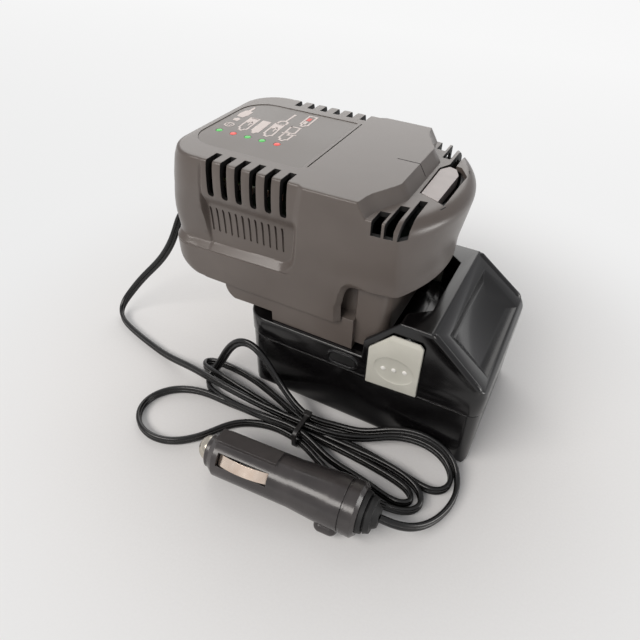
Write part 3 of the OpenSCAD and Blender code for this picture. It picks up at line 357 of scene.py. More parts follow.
plug_black = plastic("phenolic_moulded_gloss", "#3a3737", "#464242", 0.2, 1.0, 0.01, rounding=0.4, blotch=12)
rubber = plastic("rubber_moulded", "#0f0f0f", "#191818", 0.6, 0.5, 0.04, rounding=0.5)
copper_leaf = metal("copper_plated_leaf", "#ecd0ba", "#fbeee0", 0.24)
spring_steel = metal("spring_steel_drawn", "#8b8d90", "#b4b6b8", 0.28)
dress(plug_black, "plug_barrel", "plug_nose_cap", "plug_tail_cap")
dress(rubber, "plug_strain_relief", "cord_gland")
dress(metal("nickel_plated", "#b9b2a6", "#d9d2c4", 0.22), "plug_tip_contact")
dress(copper_leaf, "plug_side_contact_near", "plug_side_contact_far")
dress(spring_steel, "plug_tip_spring")
dress(plastic("glass_fuse_tube", "#c9cdca", "#e2e5e2", 0.1, 4, 0.0), "plug_fuse")

# ---- charger head ----
# Upper shell of the head: one moulding in glass-filled ABS with a satin, finely textured skin.
# Its waist is drawn in above a chamfered ledge, its sides bulge below the top, and a step down
# at the front leaves a deck. Air slots, grip grooves and vents are moulded in; the shell is hollow.
skirt_z, ledge_z, top_z, deck_z = 61.0, 77.0, 122.7, 117.0
back_x, nose_x, front_x, front_round = -80.0, 33.2, 46.5, 7.0
plateau_x, deck_foot_x = 17.0, 20.6
wall = 2.2


def eased(*pairs):
    """A smooth curve through pairs of (where, value) that never overshoots them."""
    x, y = (np.array(v, float) for v in zip(*pairs))
    rise = np.diff(y) / np.diff(x)
    slope = np.zeros(len(x))
    slope[0], slope[-1] = rise[0], rise[-1]
    for i in range(1, len(x) - 1):
        if rise[i - 1] * rise[i] > 0:
            slope[i] = 2 * rise[i - 1] * rise[i] / (rise[i - 1] + rise[i])

    def value(v):
        i = int(np.clip(np.searchsorted(x, v) - 1, 0, len(x) - 2))
        h = x[i + 1] - x[i]
        return between(min(max((v - x[i]) / h, 0), 1), y[i], y[i + 1], slope[i], slope[i + 1], h)
    return value


def ramp(v, low, high):
    """0 below low, 1 above high, straight between."""
    return min(max((v - low) / (high - low), 0), 1)


front_half = eased((60, 39), (77, 39.4), (86, 39.6), (100, 41.1), (110, 41.6), (118, 41.5), (122.7, 41.2))
rear_half = eased((60, 36), (88, 36.1), (96, 36.4), (101, 37.4), (105, 39.6), (107.5, 40.7), (111, 41.1),
                  (118, 40.7), (122.7, 39.8))
nose_half = eased((60, 36.2), (86, 36.3), (114, 39.7), (122.7, 39.7))
corner_half = eased((60, 36), (81, 36.2), (88, 37.2), (98, 39.2), (106, 40.5), (112, 41), (118, 40.6),
                    (122.7, 39.6))
rear_back = eased((60, -78.4), (90, -78.4), (100, -78.1), (107, -77.6), (113, -76.6), (118, -75.4),
                  (122.7, -73.6))
rear_corner = eased((60, 9.5), (90, 10.5), (98, 13), (106, 16.5), (113, 17.5), (118, 16.8), (122.7, 15.8))


def ledge_rise(x):
    """0 at the back of the ledge, 1 at its front end."""
    return ramp(x, -80, -15)


def ledge_height(x):
    return ledge_z + 2.2 * ledge_rise(x)


def rounded_off(radius, past):
    """How far an edge of the given radius has drawn back at a distance past the start of its rounding."""
    return radius - math.sqrt(max(radius ** 2 - max(past, 0) ** 2, 0))


step_band = 2.6


def drawn_in(x, z):
    """0 on the outer skin, 1 in the recessed grille side; the band between is the ledge and the step."""
    above = z - ledge_height(x)
    behind = (-10.9 + 5.5 * ramp(z, 82, 122)) - x
    if above <= 0 or behind <= 0:
        return 0
    bend = 8.0
    ledge_band = 2.2 + 1.2 * ledge_rise(x)
    if above < bend and behind < bend:
        inside = bend - math.hypot(bend - above, bend - behind)
        mostly_above = above / (above + behind)
        band = step_band + (ledge_band - step_band) * (1 - mostly_above) ** 2
    else:
        inside = min(above, behind)
        band = ledge_band if above < behind else step_band
    return ramp(inside, 0, band)


top_round, skirt_round, skirt_edge = 0.9, 8, 0.8
rib_xs = [-49.2 + 7 * i for i in range(6)]
crease_xs = ((60, 80.5, 93, 112.6, 122.7), (-55.4, -55.4, -55.8, -54.4, -53.3))


def half_width(x, z, top, skin):
    """Half the head's width at x and z, less the skin, where the wall's top is at the given height."""
    inside = drawn_in(x, z)
    rounded = ramp(np.interp(z, *crease_xs) - x, -0.2, 1.2)
    drawn = corner_half(z) * rounded + rear_half(z) * (1 - rounded)
    wide = front_half(z) * (1 - inside) + drawn * inside
    toward_nose = ramp(x, 4, 36) ** 1.8
    wide += (nose_half(z) - front_half(z)) * toward_nose
    if rib_xs[0] - 5.5 < x < rib_xs[-1] + 5.5 and z > 104:
        off_rib = min(abs(x - s) for s in rib_xs)
        valley = max(0, 1 - off_rib / 3.5) ** 1.7
        wide -= 0.55 * valley * ramp(z, 105, 110)
    if inside > 0 and x < -50:
        wide -= 0.7 * inside * max(0, 1 - abs(x - np.interp(z, *crease_xs)) / 0.8) * ramp(-z, -121.6, -119)
    if x < -12:
        wide -= 0.4 * max(0, 1 - abs(z - ledge_height(x) + 0.5) / 0.45) * ramp(-x, 12, 15)
    return wide - rounded_off(top_round, z - (top - top_round)) - skin


def wall_top(x):
    return top_z - (top_z - deck_z) * ramp(x, plateau_x, deck_foot_x)


back_steps, corner_steps, link_steps, nose_steps, front_steps = 10, 12, 3, 8, 12
side_xs = [*np.arange(-56.7, -51.9, 0.35), *np.arange(-51.6, -19.9, 0.7), *np.arange(-19.6, -2.4, 0.45),
           *np.linspace(-2, plateau_x, 12), 18.2, 19.4, deck_foot_x, *np.linspace(21.8, nose_x, 9)]
head_rows = [61, 61.2, 61.6, 62.4, 63.6, 65, 66.5, 68, 69.5, 72, 75, 75.9, 76.15, 76.4, 76.65,
             *np.arange(77, 83.6, 0.4), 85, 87, 90, 94, 98, *np.arange(100, 108.4, 1.05),
             *np.arange(108.5, 116, 0.8), 116.1, 116.3, 116.5, 116.7, 116.85, 116.95, 117]


def half_outline(row, skin):
    """The right half of the outline at one row, from the back's middle round to the front's middle."""
    def height(x):
        base = row + 2.2 * ledge_rise(x) * ramp(row, 70, 77) * ramp(-row, -98, -84)
        base += (wall_top(x) - deck_z) * ramp(row, 100, deck_z) ** 1.3
        return base

    def on_side(x):
        return x, -half_width(x, height(x), wall_top(x), skin), height(x)

    z_back = height(back_x)
    inside = drawn_in(back_x, z_back)
    outer_back = back_x + rounded_off(skirt_round, skirt_z + skirt_round - z_back)
    x0 = outer_back * (1 - inside) + rear_back(z_back) * inside + skin
    x0 += rounded_off(top_round, z_back - (top_z - top_round))
    r = 13 * (1 - inside) + rear_corner(z_back) * inside - skin
    w = half_width(-62, z_back, top_z, skin) - rounded_off(skirt_edge, skirt_z + skirt_edge - z_back)
    points = [(x0, -(w - r) * s / back_steps, z_back) for s in range(back_steps)]
    for s in range(corner_steps + 1):
        a = math.radians(90 * s / corner_steps)
        points.append((x0 + r - r * math.cos(a), -(w - r) - r * math.sin(a), z_back))
    points += [on_side(x0 + r + (side_xs[0] - x0 - r) * s / (link_steps + 1))
               for s in range(1, link_steps + 1)]
    set_back = rounded_off(front_round, row - (deck_z - front_round))
    lean_out = 3.2 * ramp(row, 88, 113) ** 1.4
    reach = front_x + lean_out - 0.6 * ramp(-row, -104, -86) - set_back - skin
    for x in side_xs:
        if x > deck_foot_x:
            deck_run = nose_x - set_back - skin - deck_foot_x
            x = deck_foot_x + (x - deck_foot_x) * deck_run / (nose_x - deck_foot_x)
        points.append(on_side(x))
    a = np.array(points[-1][:2])
    lean = np.array(points[-1][:2]) - np.array(points[-2][:2])
    lean /= np.linalg.norm(lean)
    bow = 67.0 - 3 * lean_out
    y_end = a[1] + 1.7
    d = np.array([reach - bow + math.sqrt(bow ** 2 - y_end ** 2), y_end])
    tangent = np.array([y_end, d[0] - reach + bow]) / bow
    b = a + lean
    c = d + np.array([tangent[0], -tangent[1]])
    z = height(40)
    for s in range(1, nose_steps + 1):
        t = s / nose_steps
        p = (1 - t) ** 3 * a + 3 * t * (1 - t) ** 2 * b + 3 * t ** 2 * (1 - t) * c + t ** 3 * d
        points.append((p[0], p[1], z))
    for s in range(1, front_steps + 1):
        y = y_end * (1 - s / front_steps)
        points.append((reach - bow + math.sqrt(bow ** 2 - y ** 2), y, z))
    return np.array(points)


def plateau_edge(y):
    """How far the plateau's front edge runs ahead of its ends at a distance y from the middle."""
    return np.interp(abs(y), [19.5, 33, 41], [8.6, 1.3, 0])


def head_form(skin=0.0, drop=0.0):
    """The head's outer form, or with a skin its hollow: stacked outlines, and a cap over them."""
    rings = []
    for row in head_rows:
        half = half_outline(row, skin)
        half[:, 2] -= skin * ramp(row, 100, 108)
        if row < 62:
            half[:, 2] -= drop
        ring = np.vstack([half, half[-2:0:-1] * [1, -1, 1]])
        rings.append(ring)
    around = len(rings[0])
    points = [tuple(p) for ring in rings for p in ring]
    faces = tube_faces(len(rings), around, "open")
    faces.append(tuple(range(around - 1, -1, -1)))
    # the cap is a grid between the back, the two sides and the front
    last = (len(rings) - 1) * around
    half_count = len(half)
    rear = back_steps + corner_steps // 2
    fore = half_count - 1 - front_steps - nose_steps // 2
    right = list(range(rear, fore + 1))
    left = [(around - i) % around for i in right]
    back = [(around - i) % around for i in range(rear, 0, -1)] + list(range(0, rear + 1))
    front = [(around - i) % around for i in range(fore, half_count - 1)] \
        + list(range(half_count - 1, fore - 1, -1))
    top = rings[-1]
    across = len(back) - 1
    deep = len(right) - 1
    run = travelled(top[right])
    run /= run[-1]
    span = travelled(top[back])
    span /= span[-1]
    grid = {}
    for i in range(across + 1):
        grid[i, 0], grid[i, deep] = last + back[i], last + front[i]
    for j in range(1, deep):
        grid[0, j], grid[across, j] = last + left[j], last + right[j]
        side_x = top[right[j]][0]
        if side_x <= deck_foot_x + 0.01:
            pull = ramp(side_x, -8, plateau_x)
        else:
            pull = 1 - ramp(side_x, deck_foot_x, top[right[-1]][0])
        for i in range(1, across):
            u, v = span[i], run[j]
            p = ((1 - v) * top[back[i]] + v * top[front[i]] + (1 - u) * top[left[j]] + u * top[right[j]]
                 - (1 - u) * (1 - v) * top[left[0]] - u * (1 - v) * top[right[0]]
                 - (1 - u) * v * top[left[-1]] - u * v * top[right[-1]])
            line_x = (1 - pull) * p[0] + pull * (side_x + plateau_edge(p[1]))
            grid[i, j] = len(points)
            points.append((line_x, p[1], top[right[j]][2]))
    faces += [(grid[i, j], grid[i + 1, j], grid[i + 1, j + 1], grid[i, j + 1])
              for j in range(deep) for i in range(across)]
    return points, faces


def prism(outline, low, high, axis="z"):
    """A closed prism from an outline: (x, y) along z, (x, z) along y, or (y, z) along x."""
    put = {"z": lambda a, b, h: (a, b, h), "y": lambda a, b, h: (a, h, b), "x": lambda a, b, h: (h, a, b)}
    return [put[axis](a, b, h) for h in (low, high) for a, b in outline], tube_faces(2, len(outline))


def slab(low, high):
    """A plain box from its two corners, used only to cut or to join."""
    (x0, y0, z0), (x1, y1, z1) = low, high
    return prism([(x0, y0), (x1, y0), (x1, y1), (x0, y1)], z0, z1)


def arc(cx, cy, r, start, end, steps=8):
    return [(cx + r * math.cos(math.radians(start + (end - start) * s / steps)),
             cy + r * math.sin(math.radians(start + (end - start) * s / steps))) for s in range(steps + 1)]


def disc(cx, cy, r):
    """The outline of a disc, in 24 points."""
    return arc(cx, cy, r, 0, 345, 23)


def carve(thing, part, how="DIFFERENCE"):
    """Takes a part or an object away from a piece, or joins it to the piece, whose own material stays."""
    tool = part if isinstance(part, bpy.types.Object) else piece("tool", *part, None, None)
    cut = thing.modifiers.new("cut", "BOOLEAN")
    cut.operation = how
    cut.object = tool
    cut.solver = "MANIFOLD"
    apply_all(thing)
    bpy.data.objects.remove(tool)
    shade_smooth(thing.data, 35)
    own = [material for material in thing.data.materials if material]
    thing.data.materials.clear()
    for material in own[:1]:
        thing.data.materials.append(material)
    thing.data.polygons.foreach_set("material_index", [0] * len(thing.data.polygons))


def apply_all(thing):
    """Makes a piece's modifiers part of its mesh."""
    bpy.context.view_layer.update()
    finished = bpy.data.meshes.new_from_object(thing.evaluated_get(bpy.context.evaluated_depsgraph_get()))
    thing.modifiers.clear()
    thing.data = finished


def both_sides(part):
    """A part and its mirror image across the middle plane."""
    points, faces = part
    return joined(part, ([(x, -y, z) for x, y, z in points], [tuple(reversed(f)) for f in faces]))


# Satin ABS with a fine spark-eroded texture. Its grain is about 0.3 mm and is drawn at 0.5 mm
# so that it shows; the skin has a soft sheen on its ribs and edges.
satin_abs = plastic("abs_moulded_satin", "#5c544f", "#655d58", 0.31, 0.5, 0.02,
                    rounding=0.4, blotch=30, spread=0.03)
head = piece("head_shell", *head_form(), satin_abs, "charger", "head_abs", smooth=35)
carve(head, head_form(wall, drop=12))
# the arch over the boss, with a rim that slants inwards
arch_outer = [(8.5, 40), (8.5, 70), (9.4, 72), (10.5, 77.5)] + arc(19.2, 78.0, 8.2, 175, 95) \
    + [(60, 86.2), (60, 40)]
arch_inner = [(13.6, 40), (13.6, 70), (13.9, 72), (14.4, 76.5)] + arc(20.4, 76.4, 6.2, 175, 95) \
    + [(60, 83.2), (60, 40)]
arch_depth = [35, 35, 35, 35] + [35.2, 35.4, 35.7, 36, 36.4, 36.9, 37.4, 37.9, 38.1] + [38.1, 38.1]
carve(head, prism(arch_inner, -60, 60, "y"))
rim_points = [(x, -43, z) for x, z in arch_outer] + [(x, -39.5, z) for x, z in arch_outer] \
    + [(x, -depth, z) for depth, (x, z) in zip(arch_depth, arch_inner)]
carve(head, both_sides((rim_points, tube_faces(3, len(arch_outer)))))
slot_wide, slot_inner, slot_foot = 3.1, 32.2, 107.2
slots = []
for x in rib_xs:
    foot = slot_foot + 1.4
    section = [(x - slot_wide / 2, foot)] + arc(x, foot, slot_wide / 2, 180, 360, 6)[1:-1] \
        + [(x + slot_wide / 2, foot), (x + slot_wide / 2, top_z + 3), (x - slot_wide / 2, top_z + 3)]
    slots.append(both_sides(prism(section, slot_inner, 50, "y")))
carve(head, joined(*slots))
grooves = []
for i in range(12):
    x = -53.5 + 3.3 * i
    section = [(x - 0.45, 87.8), (x, 87.3), (x + 0.45, 87.8), (x + 0.45, 99.3), (x, 99.8), (x - 0.45, 99.3)]
    grooves.append(both_sides(prism(section, 35.5, 45, "y")))
carve(head, joined(*grooves))
# each vent's place along the head, how near the middle it reaches, and half its width
vents, vent_foot = [], 110.9
vent_places = ((25.2, 32.4, 2.0), (30.1, 24.8, 1.8), (34.9, 17.4, 1.5))
for x, y, half in vent_places:
    outline = [(x - half, y), (x + half, y - 0.4), (x + half, 60), (x - half, 60)]
    vents.append(both_sides(prism(outline, vent_foot, 125)))
carve(head, joined(*vents))


def plate(back, front, half, rear_round, fore_round, fore_steps=8):
    """The outline of a plate from above, with rounded rear and fore corners."""
    return arc(back + rear_round, -half + rear_round, rear_round, 180, 270) \
        + arc(front - fore_round, -half + fore_round, fore_round, 270, 360, fore_steps) \
        + arc(front - fore_round, half - fore_round, fore_round, 0, 90, fore_steps) \
        + arc(back + rear_round, half - rear_round, rear_round, 90, 180)


label_outline = plate(-70.6, -14.0, 27.4, 13, 1.5, 3)
carve(head, prism(label_outline, top_z - 0.75, top_z + 2))
lamp_xs, lamp_y, lamp_r = [-64.4, -56.9, -49.4, -41.9, -34.4], -11.4, 1.6
holes = [prism(disc(x, lamp_y, lamp_r), 115, 125) for x in lamp_xs]
holes.append(prism(disc(3, 72.5, 4.6), -90, -70, "x"))
carve(head, joined(*holes))
# shut lines: one across the top ahead of the label, one along the middle of the plateau and down its step
step_cut = [(15.8, 122.2), (23.2, 122.2), (27.2, 116.6), (28.8, 117.6), (25, 124), (15.8, 124)]
carve(head, joined(slab((-12.5, -24.5, top_z - 0.5), (-12.0, 27.4, top_z + 2)),
                   prism(step_cut, 1.25, 1.7, "y")))
lens_outline = [(31.4, -10.8), (39.4, -14.2), (39.8, 11.4), (37.4, 16.6), (34, 18), (31.2, 13.6)]
well_outline = [(30.9, -11.3), (42.6, -16.4), (43.2, 12), (38.8, 19), (33.4, 19.6), (30.6, 14.2)]
carve(head, prism(well_outline, deck_z - 2.4, deck_z + 3))
carve(head, prism(lens_outline, deck_z - 6, deck_z + 3))


def inside_of(form, centres):
    """Which of the given points lie inside a closed form."""
    bulk = BVHTree.FromPolygons([Vector(p) for p in form[0]], form[1])
    way = Vector((0.31, 0.52, 0.79)).normalized()
    answers = []
    for point in centres:
        hits, at = 0, Vector(point)
        while True:
            found = bulk.ray_cast(at, way)[0]
            if found is None:
                break
            hits += 1
            at = found + way * 0.001
        answers.append(hits % 2 == 1)
    return answers


# The core side of the mould isn't textured: its matt skin lines the slots, the vents and the hollow. Its
# near-black colour there, and in the window's well, is painted shade where little light reaches.
shade_painted_abs = plastic("abs_core_side_painted_shade", "#121110", "#191716", 0.65, 0.8, 0.02, rounding=0.1, blotch=20)
head.data.materials.append(shade_painted_abs)
# faces in the slots, the vents, the window's well and deep in the hollow take the near-black painted shade
centres = [face.center / MM for face in head.data.polygons]
for face, centre, deep in zip(head.data.polygons, centres, inside_of(head_form(1.1), centres)):
    corners = np.array([head.data.vertices[i].co for i in face.vertices]) / MM
    x, y, z = corners[:, 0], abs(corners[:, 1]), corners[:, 2]
    in_slot = any(abs(x - at).max() < slot_wide / 2 + 0.02 for at in rib_xs) \
        and y.min() > slot_inner - 0.02 and z.min() > slot_foot - 0.2
    in_vent = z.min() > vent_foot - 0.05 and any(
        abs(x - at).max() < half + 0.02 and y.min() > reach - 0.45 for at, reach, half in vent_places)
    in_well = 30 < x.min() and x.max() < 43.5 and y.max() < 19.8 \
        and deck_z - 6.2 < z.min() and z.max() < deck_z - 0.4
    if in_slot or in_vent or in_well or (deep and centre.z > 100):
        face.material_index = 1
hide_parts("top_housing")

# ---- foot, neck and boss ----
# Lower shell, the same ABS, screwed to the head from below. Its foot slides over the pack's rail.
# The screws are zinc-plated steel.
zinc_steel = metal("steel_zinc_plated", "#9fa2a4", "#c3c5c6", 0.3)
dress(satin_abs, "base_housing")
dress(zinc_steel, "housing_screws")

# ---- label film ----
# Polycarbonate film in the housing's colour, printed on its back and laid in the label field
# with adhesive. The print shows generic symbols for charging and full packs beside the lamps.
film = plastic("polycarbonate_film_printed", "#5c5550", "#635c57", 0.36, 0.9, 0.008,
               rounding=0.15, blotch=40)
film_outline = [(x + (0.07 if x < -40 else -0.07), y * 0.9975) for x, y in label_outline]
film_top = top_z - 0.24
sheet = piece("label_film", *prism(film_outline, top_z - 0.7, film_top), film, "charger", "label_film")
carve(sheet, joined(*[prism(disc(x, lamp_y, 1.62), 120, 125) for x in lamp_xs]))
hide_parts("label_sheet")
ink = plastic("ink_printed_white", "#d9cdc9", "#e4d9d5", 0.5, 0.8, 0.0, rounding=0.02)
ink_red = plastic("ink_printed_red", "#d9473f", "#e2544b", 0.5, 0.8, 0.0, rounding=0.02)
print_thick = 0.05
print_z = film_top + print_thick


def printed(outline):
    """A printed area inside an outline of (x, y) points."""
    return prism(outline, print_z - print_thick, print_z)


def inked(line, width=0.85):
    """Printed strokes along a line; neighbours differ a little in height, so that none flickers."""
    parts = []
    line = [np.array(p, float) for p in line]
    for i, (a, b) in enumerate(zip(line, line[1:])):
        along = (b - a) / np.linalg.norm(b - a) * width / 2
        side = np.array([-along[1], along[0]])
        corners = (a - along - side, b + along - side, b + along + side, a - along + side)
        parts.append(prism(corners, print_z - print_thick, print_z + 0.004 * (i % 3)))
    return parts


def cell_outline(x, low, high, half=2.25, lean=-1.3):
    """The outline of a pack seen from its side: a long box with its terminal neck at the near end."""
    left, right = x - half, x + half
    return [(left, low + 2.2), (left + 1.1, low + 1.4), (left + 1.3, low), (right - 1.6, low - 0.5),
            (right - 0.9, low + 1), (right, low + 1.4), (right + lean, high), (left + lean, high)]


marks = []
for x in (-56.6, -43.3):
    outline = cell_outline(x, -6.2, 8)
    marks += inked(outline + outline[:1])
    level_mark = [(-3.1, 2.4), (-1.5, 2), (-0.9, 3.4), (1.5, 2.2), (1, 8), (-3.5, 8)]
    bolt_mark = [(-0.9, 3.5), (-0.1, -0.6), (0.5, -0.6), (0.1, 1.9), (1, 1.7), (-0.3, 4.4)]
    marks += [printed([(x + a, y) for a, y in mark]) for mark in (level_mark, bolt_mark)]
marks.append(printed(cell_outline(-50.1, -6.4, 8)))
split = cell_outline(-35.2, -6.8, 8.6)
marks += inked([split[7], split[6], (-33.6, 2.4), (-34.6, 1.4)]) + inked([split[7], (-38, 2), (-37, 2.4)])
marks += inked([(-37.6, -0.4), split[0], split[1], split[2], split[3], split[4], split[5], (-33.1, 0)])
marks += inked([(-38.6, 0.4), (-35.6, 1.8), (-35.4, -0.8), (-32.4, 0.8)])
case = cell_outline(-35, 11.6, 24, half=2.0, lean=-0.7)
marks += inked(case + case[:1])
marks.append(printed([(-36.3, 14.2), (-34.6, 13.8), (-35, 17.4), (-36.6, 17.4)]))
# a charger with its lead, a plug, a round socket mark and a spanner
marks.append(printed([(-67.4, 6.8), (-63.9, 6.2), (-63.6, 8), (-62.9, 9.4), (-63.2, 14), (-64.8, 14.6),
                      (-65.1, 19.6), (-66.3, 19.8), (-66.3, 15.2), (-67.5, 14.2), (-67.9, 10)]))
marks.append(printed([(-66.4, 1.6), (-63.6, 1.2), (-63.5, 4), (-65.2, 4.9), (-66.5, 3.8)]))
marks += inked(arc(-64.3, -3.8, 2.1, 0, 360, 20), 0.55)
marks += inked([(-65, -2.6), (-65, -5)], 0.4) + inked([(-63.6, -2.6), (-63.6, -5)], 0.4)
marks.append(printed([(-44.5, 12.7), (-43.7, 12.5), (-43.6, 22), (-44.9, 22)]))
marks += inked([(-46.4, 9.4), (-46.1, 11.4), (-44.2, 12.6), (-42.4, 11.4), (-42.1, 9.2)], 1.0)
piece("label_symbols", *joined(*marks), ink, "charger", "label_film", smooth=0)
piece("label_patch", *printed([(-36.7, 18.3), (-34.6, 18.1), (-34.9, 21.6), (-36.9, 21.6)]), ink_red,
      "charger", "label_film", smooth=0)

# ---- indicator lamps ----
# Two red and three green light pipes, clear tinted acrylic with domed ends, lit softly from below.


def acrylic(name, colour, glow):
    """Tinted acrylic: glossy, and lit a little from inside."""
    material, tree, shader, place = blank(name)
    veil = add(tree, "TexNoise", {"Vector": place, "Scale": 700.0})
    tone = tinted(tree, veil, colour, glow)
    feed(shader, {"Base Color": tone.outputs["Color"], "Emission Color": tone.outputs["Color"]})
    shader.inputs["Emission Strength"].default_value = 0.5
    shader.inputs["Roughness"].default_value = 0.4
    shader.inputs["IOR"].default_value = 1.49
    return material


def turned(profile, centre, along, around=32):
    """A solid turned about an axis: profile is (distance along it, radius) pairs."""
    along = np.array(along, float) / np.linalg.norm(along)
    side = np.cross(along, [0.3, 0.4, 0.9])
    side /= np.linalg.norm(side)
    other = np.cross(along, side)
    points = [p for u, r in profile
              for p in hoop(np.array(centre, float) + along * u, r, side, other, around)]
    return points, tube_faces(len(profile), around)


lamp_colours = {"green": acrylic("acrylic_tinted_green", "#3fa548", "#5cc465"),
                "red": acrylic("acrylic_tinted_red", "#d0403c", "#e65a52")}
for colour, places in (("green", (0, 2, 3)), ("red", (1, 4))):
    domes = [turned([(0, 1.5), (8.5, 1.5), (8.66, 1.38), (8.78, 1.0), (8.84, 0.5), (8.86, 0.05)],
                    (lamp_xs[i], lamp_y, 113.8), (0, 0, 1), 24) for i in places]
    lamps = piece("lamp_pipes_" + colour, *joined(*domes), lamp_colours[colour], "charger", "lamp_plastic")
    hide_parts("lamp_light_pipes")
dress(plastic("lamp_resin_white", "#d9d9d2", "#eeeeea", 0.3, 1, 0.0), "status_lamps")

# ---- deck window ----
# Frosted polycarbonate window that shows when the fan of heat rises, set in a well in the deck.
frosted = plastic("polycarbonate_frosted", "#a29a98", "#aea6a4", 0.32, 0.7, 0.015, rounding=0.3, blotch=7)
window = piece("deck_window", *prism(lens_outline, deck_z - 4.5, deck_z - 0.25), frosted, "charger",
               "window_plastic")
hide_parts("deck_lens")

# ---- converter ----
# Circuit board with its wound coil, sleeved capacitors, transistors and finned heat sink, and the
# contact block with its blades and leads. They show only as glints through the air slots.
board_green = plastic("board_solder_mask", "#08150d", "#0c1f13", 0.35, 3, 0.03, blotch=4)
brass = metal("brass_rolled", "#b8934a", "#d6b468", 0.3)
dress(board_green, "circuit_board")
dress(metal("copper_wire_enamelled", "#8f4a22", "#c47a42", 0.35, grain=0.9, depth=0.2), "power_coil")
dress(plastic("capacitor_sleeve_shrunk", "#0b0c10", "#14151a", 0.3, 2, 0.01, blotch=5),
      "smoothing_capacitors")
dress(metal("aluminium_extruded", "#a9abac", "#c9cbcc", 0.4), "heat_sink")
dress(plastic("epoxy_moulded", "#141414", "#202020", 0.5, 0.6, 0.03), "power_transistors")
dress(plastic("nylon_glass_filled", "#161616", "#222221", 0.45, 0.6, 0.04), "terminal_block")
dress(brass, "contact_blades")
dress(plastic("silicone_lead_red", "#8e1c16", "#a9241c", 0.4, 1.5, 0.02), "output_leads")

# ---- battery pack ----
# Two black ABS case halves with a semi-gloss skin, screwed together at the seam. The upper half
# carries the rail, the raised front with its pocket, and a finger slope with a scooped grip.
pack_abs = plastic("abs_moulded_gloss", "#0a090a", "#100f10", 0.17, 0.8, 0.01,
                   rounding=0.6, blotch=26, spread=0.03)
pack_x0, pack_x1, pack_half, seam, shoulder = -40, 80, 38, 34.05, 46
pack_plan = plate(pack_x0, pack_x1, pack_half, 12, 6)


def bevel(thing, width, steps, above):
    """Rounds a piece's edges that are sharper than the given angle."""
    edge = thing.modifiers.new("edge", "BEVEL")
    edge.width = width * MM
    edge.segments = steps
    edge.limit_method = "ANGLE"
    edge.angle_limit = math.radians(above)
    edge.use_clamp_overlap = True
    apply_all(thing)
    shade_smooth(thing.data, 35)


upper = piece("pack_upper_shell", *prism(pack_plan, seam, shoulder), pack_abs, "battery_pack", "pack_abs")
bevel(upper, 1.1, 3, 60)
hood_side = [(23.5, 40), (23.5, 55), (38.5, 70), (52.5, 70), (78.5, 49), (79.98, 47), (79.98, 40)]
hood_front = [(-37.98, 38), (37.98, 38), (37.98, 49), (35.3, 71), (-35.3, 71), (-37.98, 49)]
hood = piece("hood", *prism(hood_side, -40, 40, "y"), None, None)
carve(hood, prism(hood_front, 0, 90, "x"), "INTERSECT")
carve(hood, prism([(x - 0.01 * (x > 0), y * 0.9995) for x, y in pack_plan], 30, 80), "INTERSECT")
bevel(hood, 1.3, 4, 28)
carve(upper, hood, "UNION")
carve(upper, slab((-38, -24, 44), (22, 24, 50.2)), "UNION")
carve(upper, slab((-38, -27, 50), (22, 27, 57)), "UNION")
hollow = prism([(x * 0.94 + 1.2, y * 0.94) for x, y in pack_plan], 33, 43.8)
carve(upper, hollow)
carve(upper, slab((18, -34.7, 46), (38.3, 34.7, 80)))
pocket = [(30, -27.8), (38.3, -27.8), (47.3, -20.5), (47.3, 20.5), (38.3, 27.8), (30, 27.8)]
carve(upper, prism(pocket, 48, 80))
slope_run, slope_fall = 26.0, 21.0
slope_turn = math.atan2(slope_fall, slope_run)


def on_slope(points):
    """Points drawn over the slope's plane, (down it, across it, out of it), put in place."""
    c, s = math.cos(slope_turn), math.sin(slope_turn)
    return [(52.5 + a * c + h * s, b, 70 - a * s + h * c) for a, b, h in points]


def common(part, other):
    """The solid that two closed parts share."""
    shared = piece("shared", *part, None, None)
    carve(shared, other, "INTERSECT")
    points = [tuple(v.co / MM) for v in shared.data.vertices]
    faces = [tuple(face.vertices) for face in shared.data.polygons]
    bpy.data.objects.remove(shared)
    return points, faces


# the grip is a trough across the slope with slanting ends, so that each end shows as a bow
grip_low, grip_high, grip_deep, grip_half = 6.8, 31.9, 4.2, 27.3
grip_r = (((grip_high - grip_low) / 2) ** 2 + grip_deep ** 2) / (2 * grip_deep)
grip_turn = math.degrees(math.asin((grip_high - grip_low) / 2 / grip_r))
trough = prism([(grip_low, 8)] + arc((grip_low + grip_high) / 2, grip_r - grip_deep, grip_r,
                                    270 - grip_turn, 270 + grip_turn, 26) + [(grip_high, 8)], -45, 45, "y")
ends = prism([(-grip_half + 9.6, -5), (grip_half - 9.6, -5), (grip_half + 11.6, 6), (-grip_half - 11.6, 6)],
             0, 40, "x")
grip_points, grip_faces = common(trough, ends)
carve(upper, (on_slope(grip_points), grip_faces))


def closed_tube(path, radius, around=10):
    """A round ring that follows a closed path in a plane of constant Y."""
    points = []
    for i, p in enumerate(path):
        along = path[(i + 1) % len(path)] - path[i - 1]
        along /= np.linalg.norm(along)
        out = np.array([along[2], 0, -along[0]])
        points += hoop(p, radius, out, np.array([0, 1, 0]), around)
    return points, tube_faces(len(path), around, "joined")


def side_prism(outline, side, near, far):
    """A prism of (x, z) points on one side, between two distances from the middle plane."""
    return prism(outline, *sorted((side * near, side * far)), "y")


def port_outline(radius):
    """The oval of a side port, in (x, z)."""
    return arc(10.7, 39.8, radius, 90, 270, 12) + arc(18, 39.8, radius, -90, 90, 12)


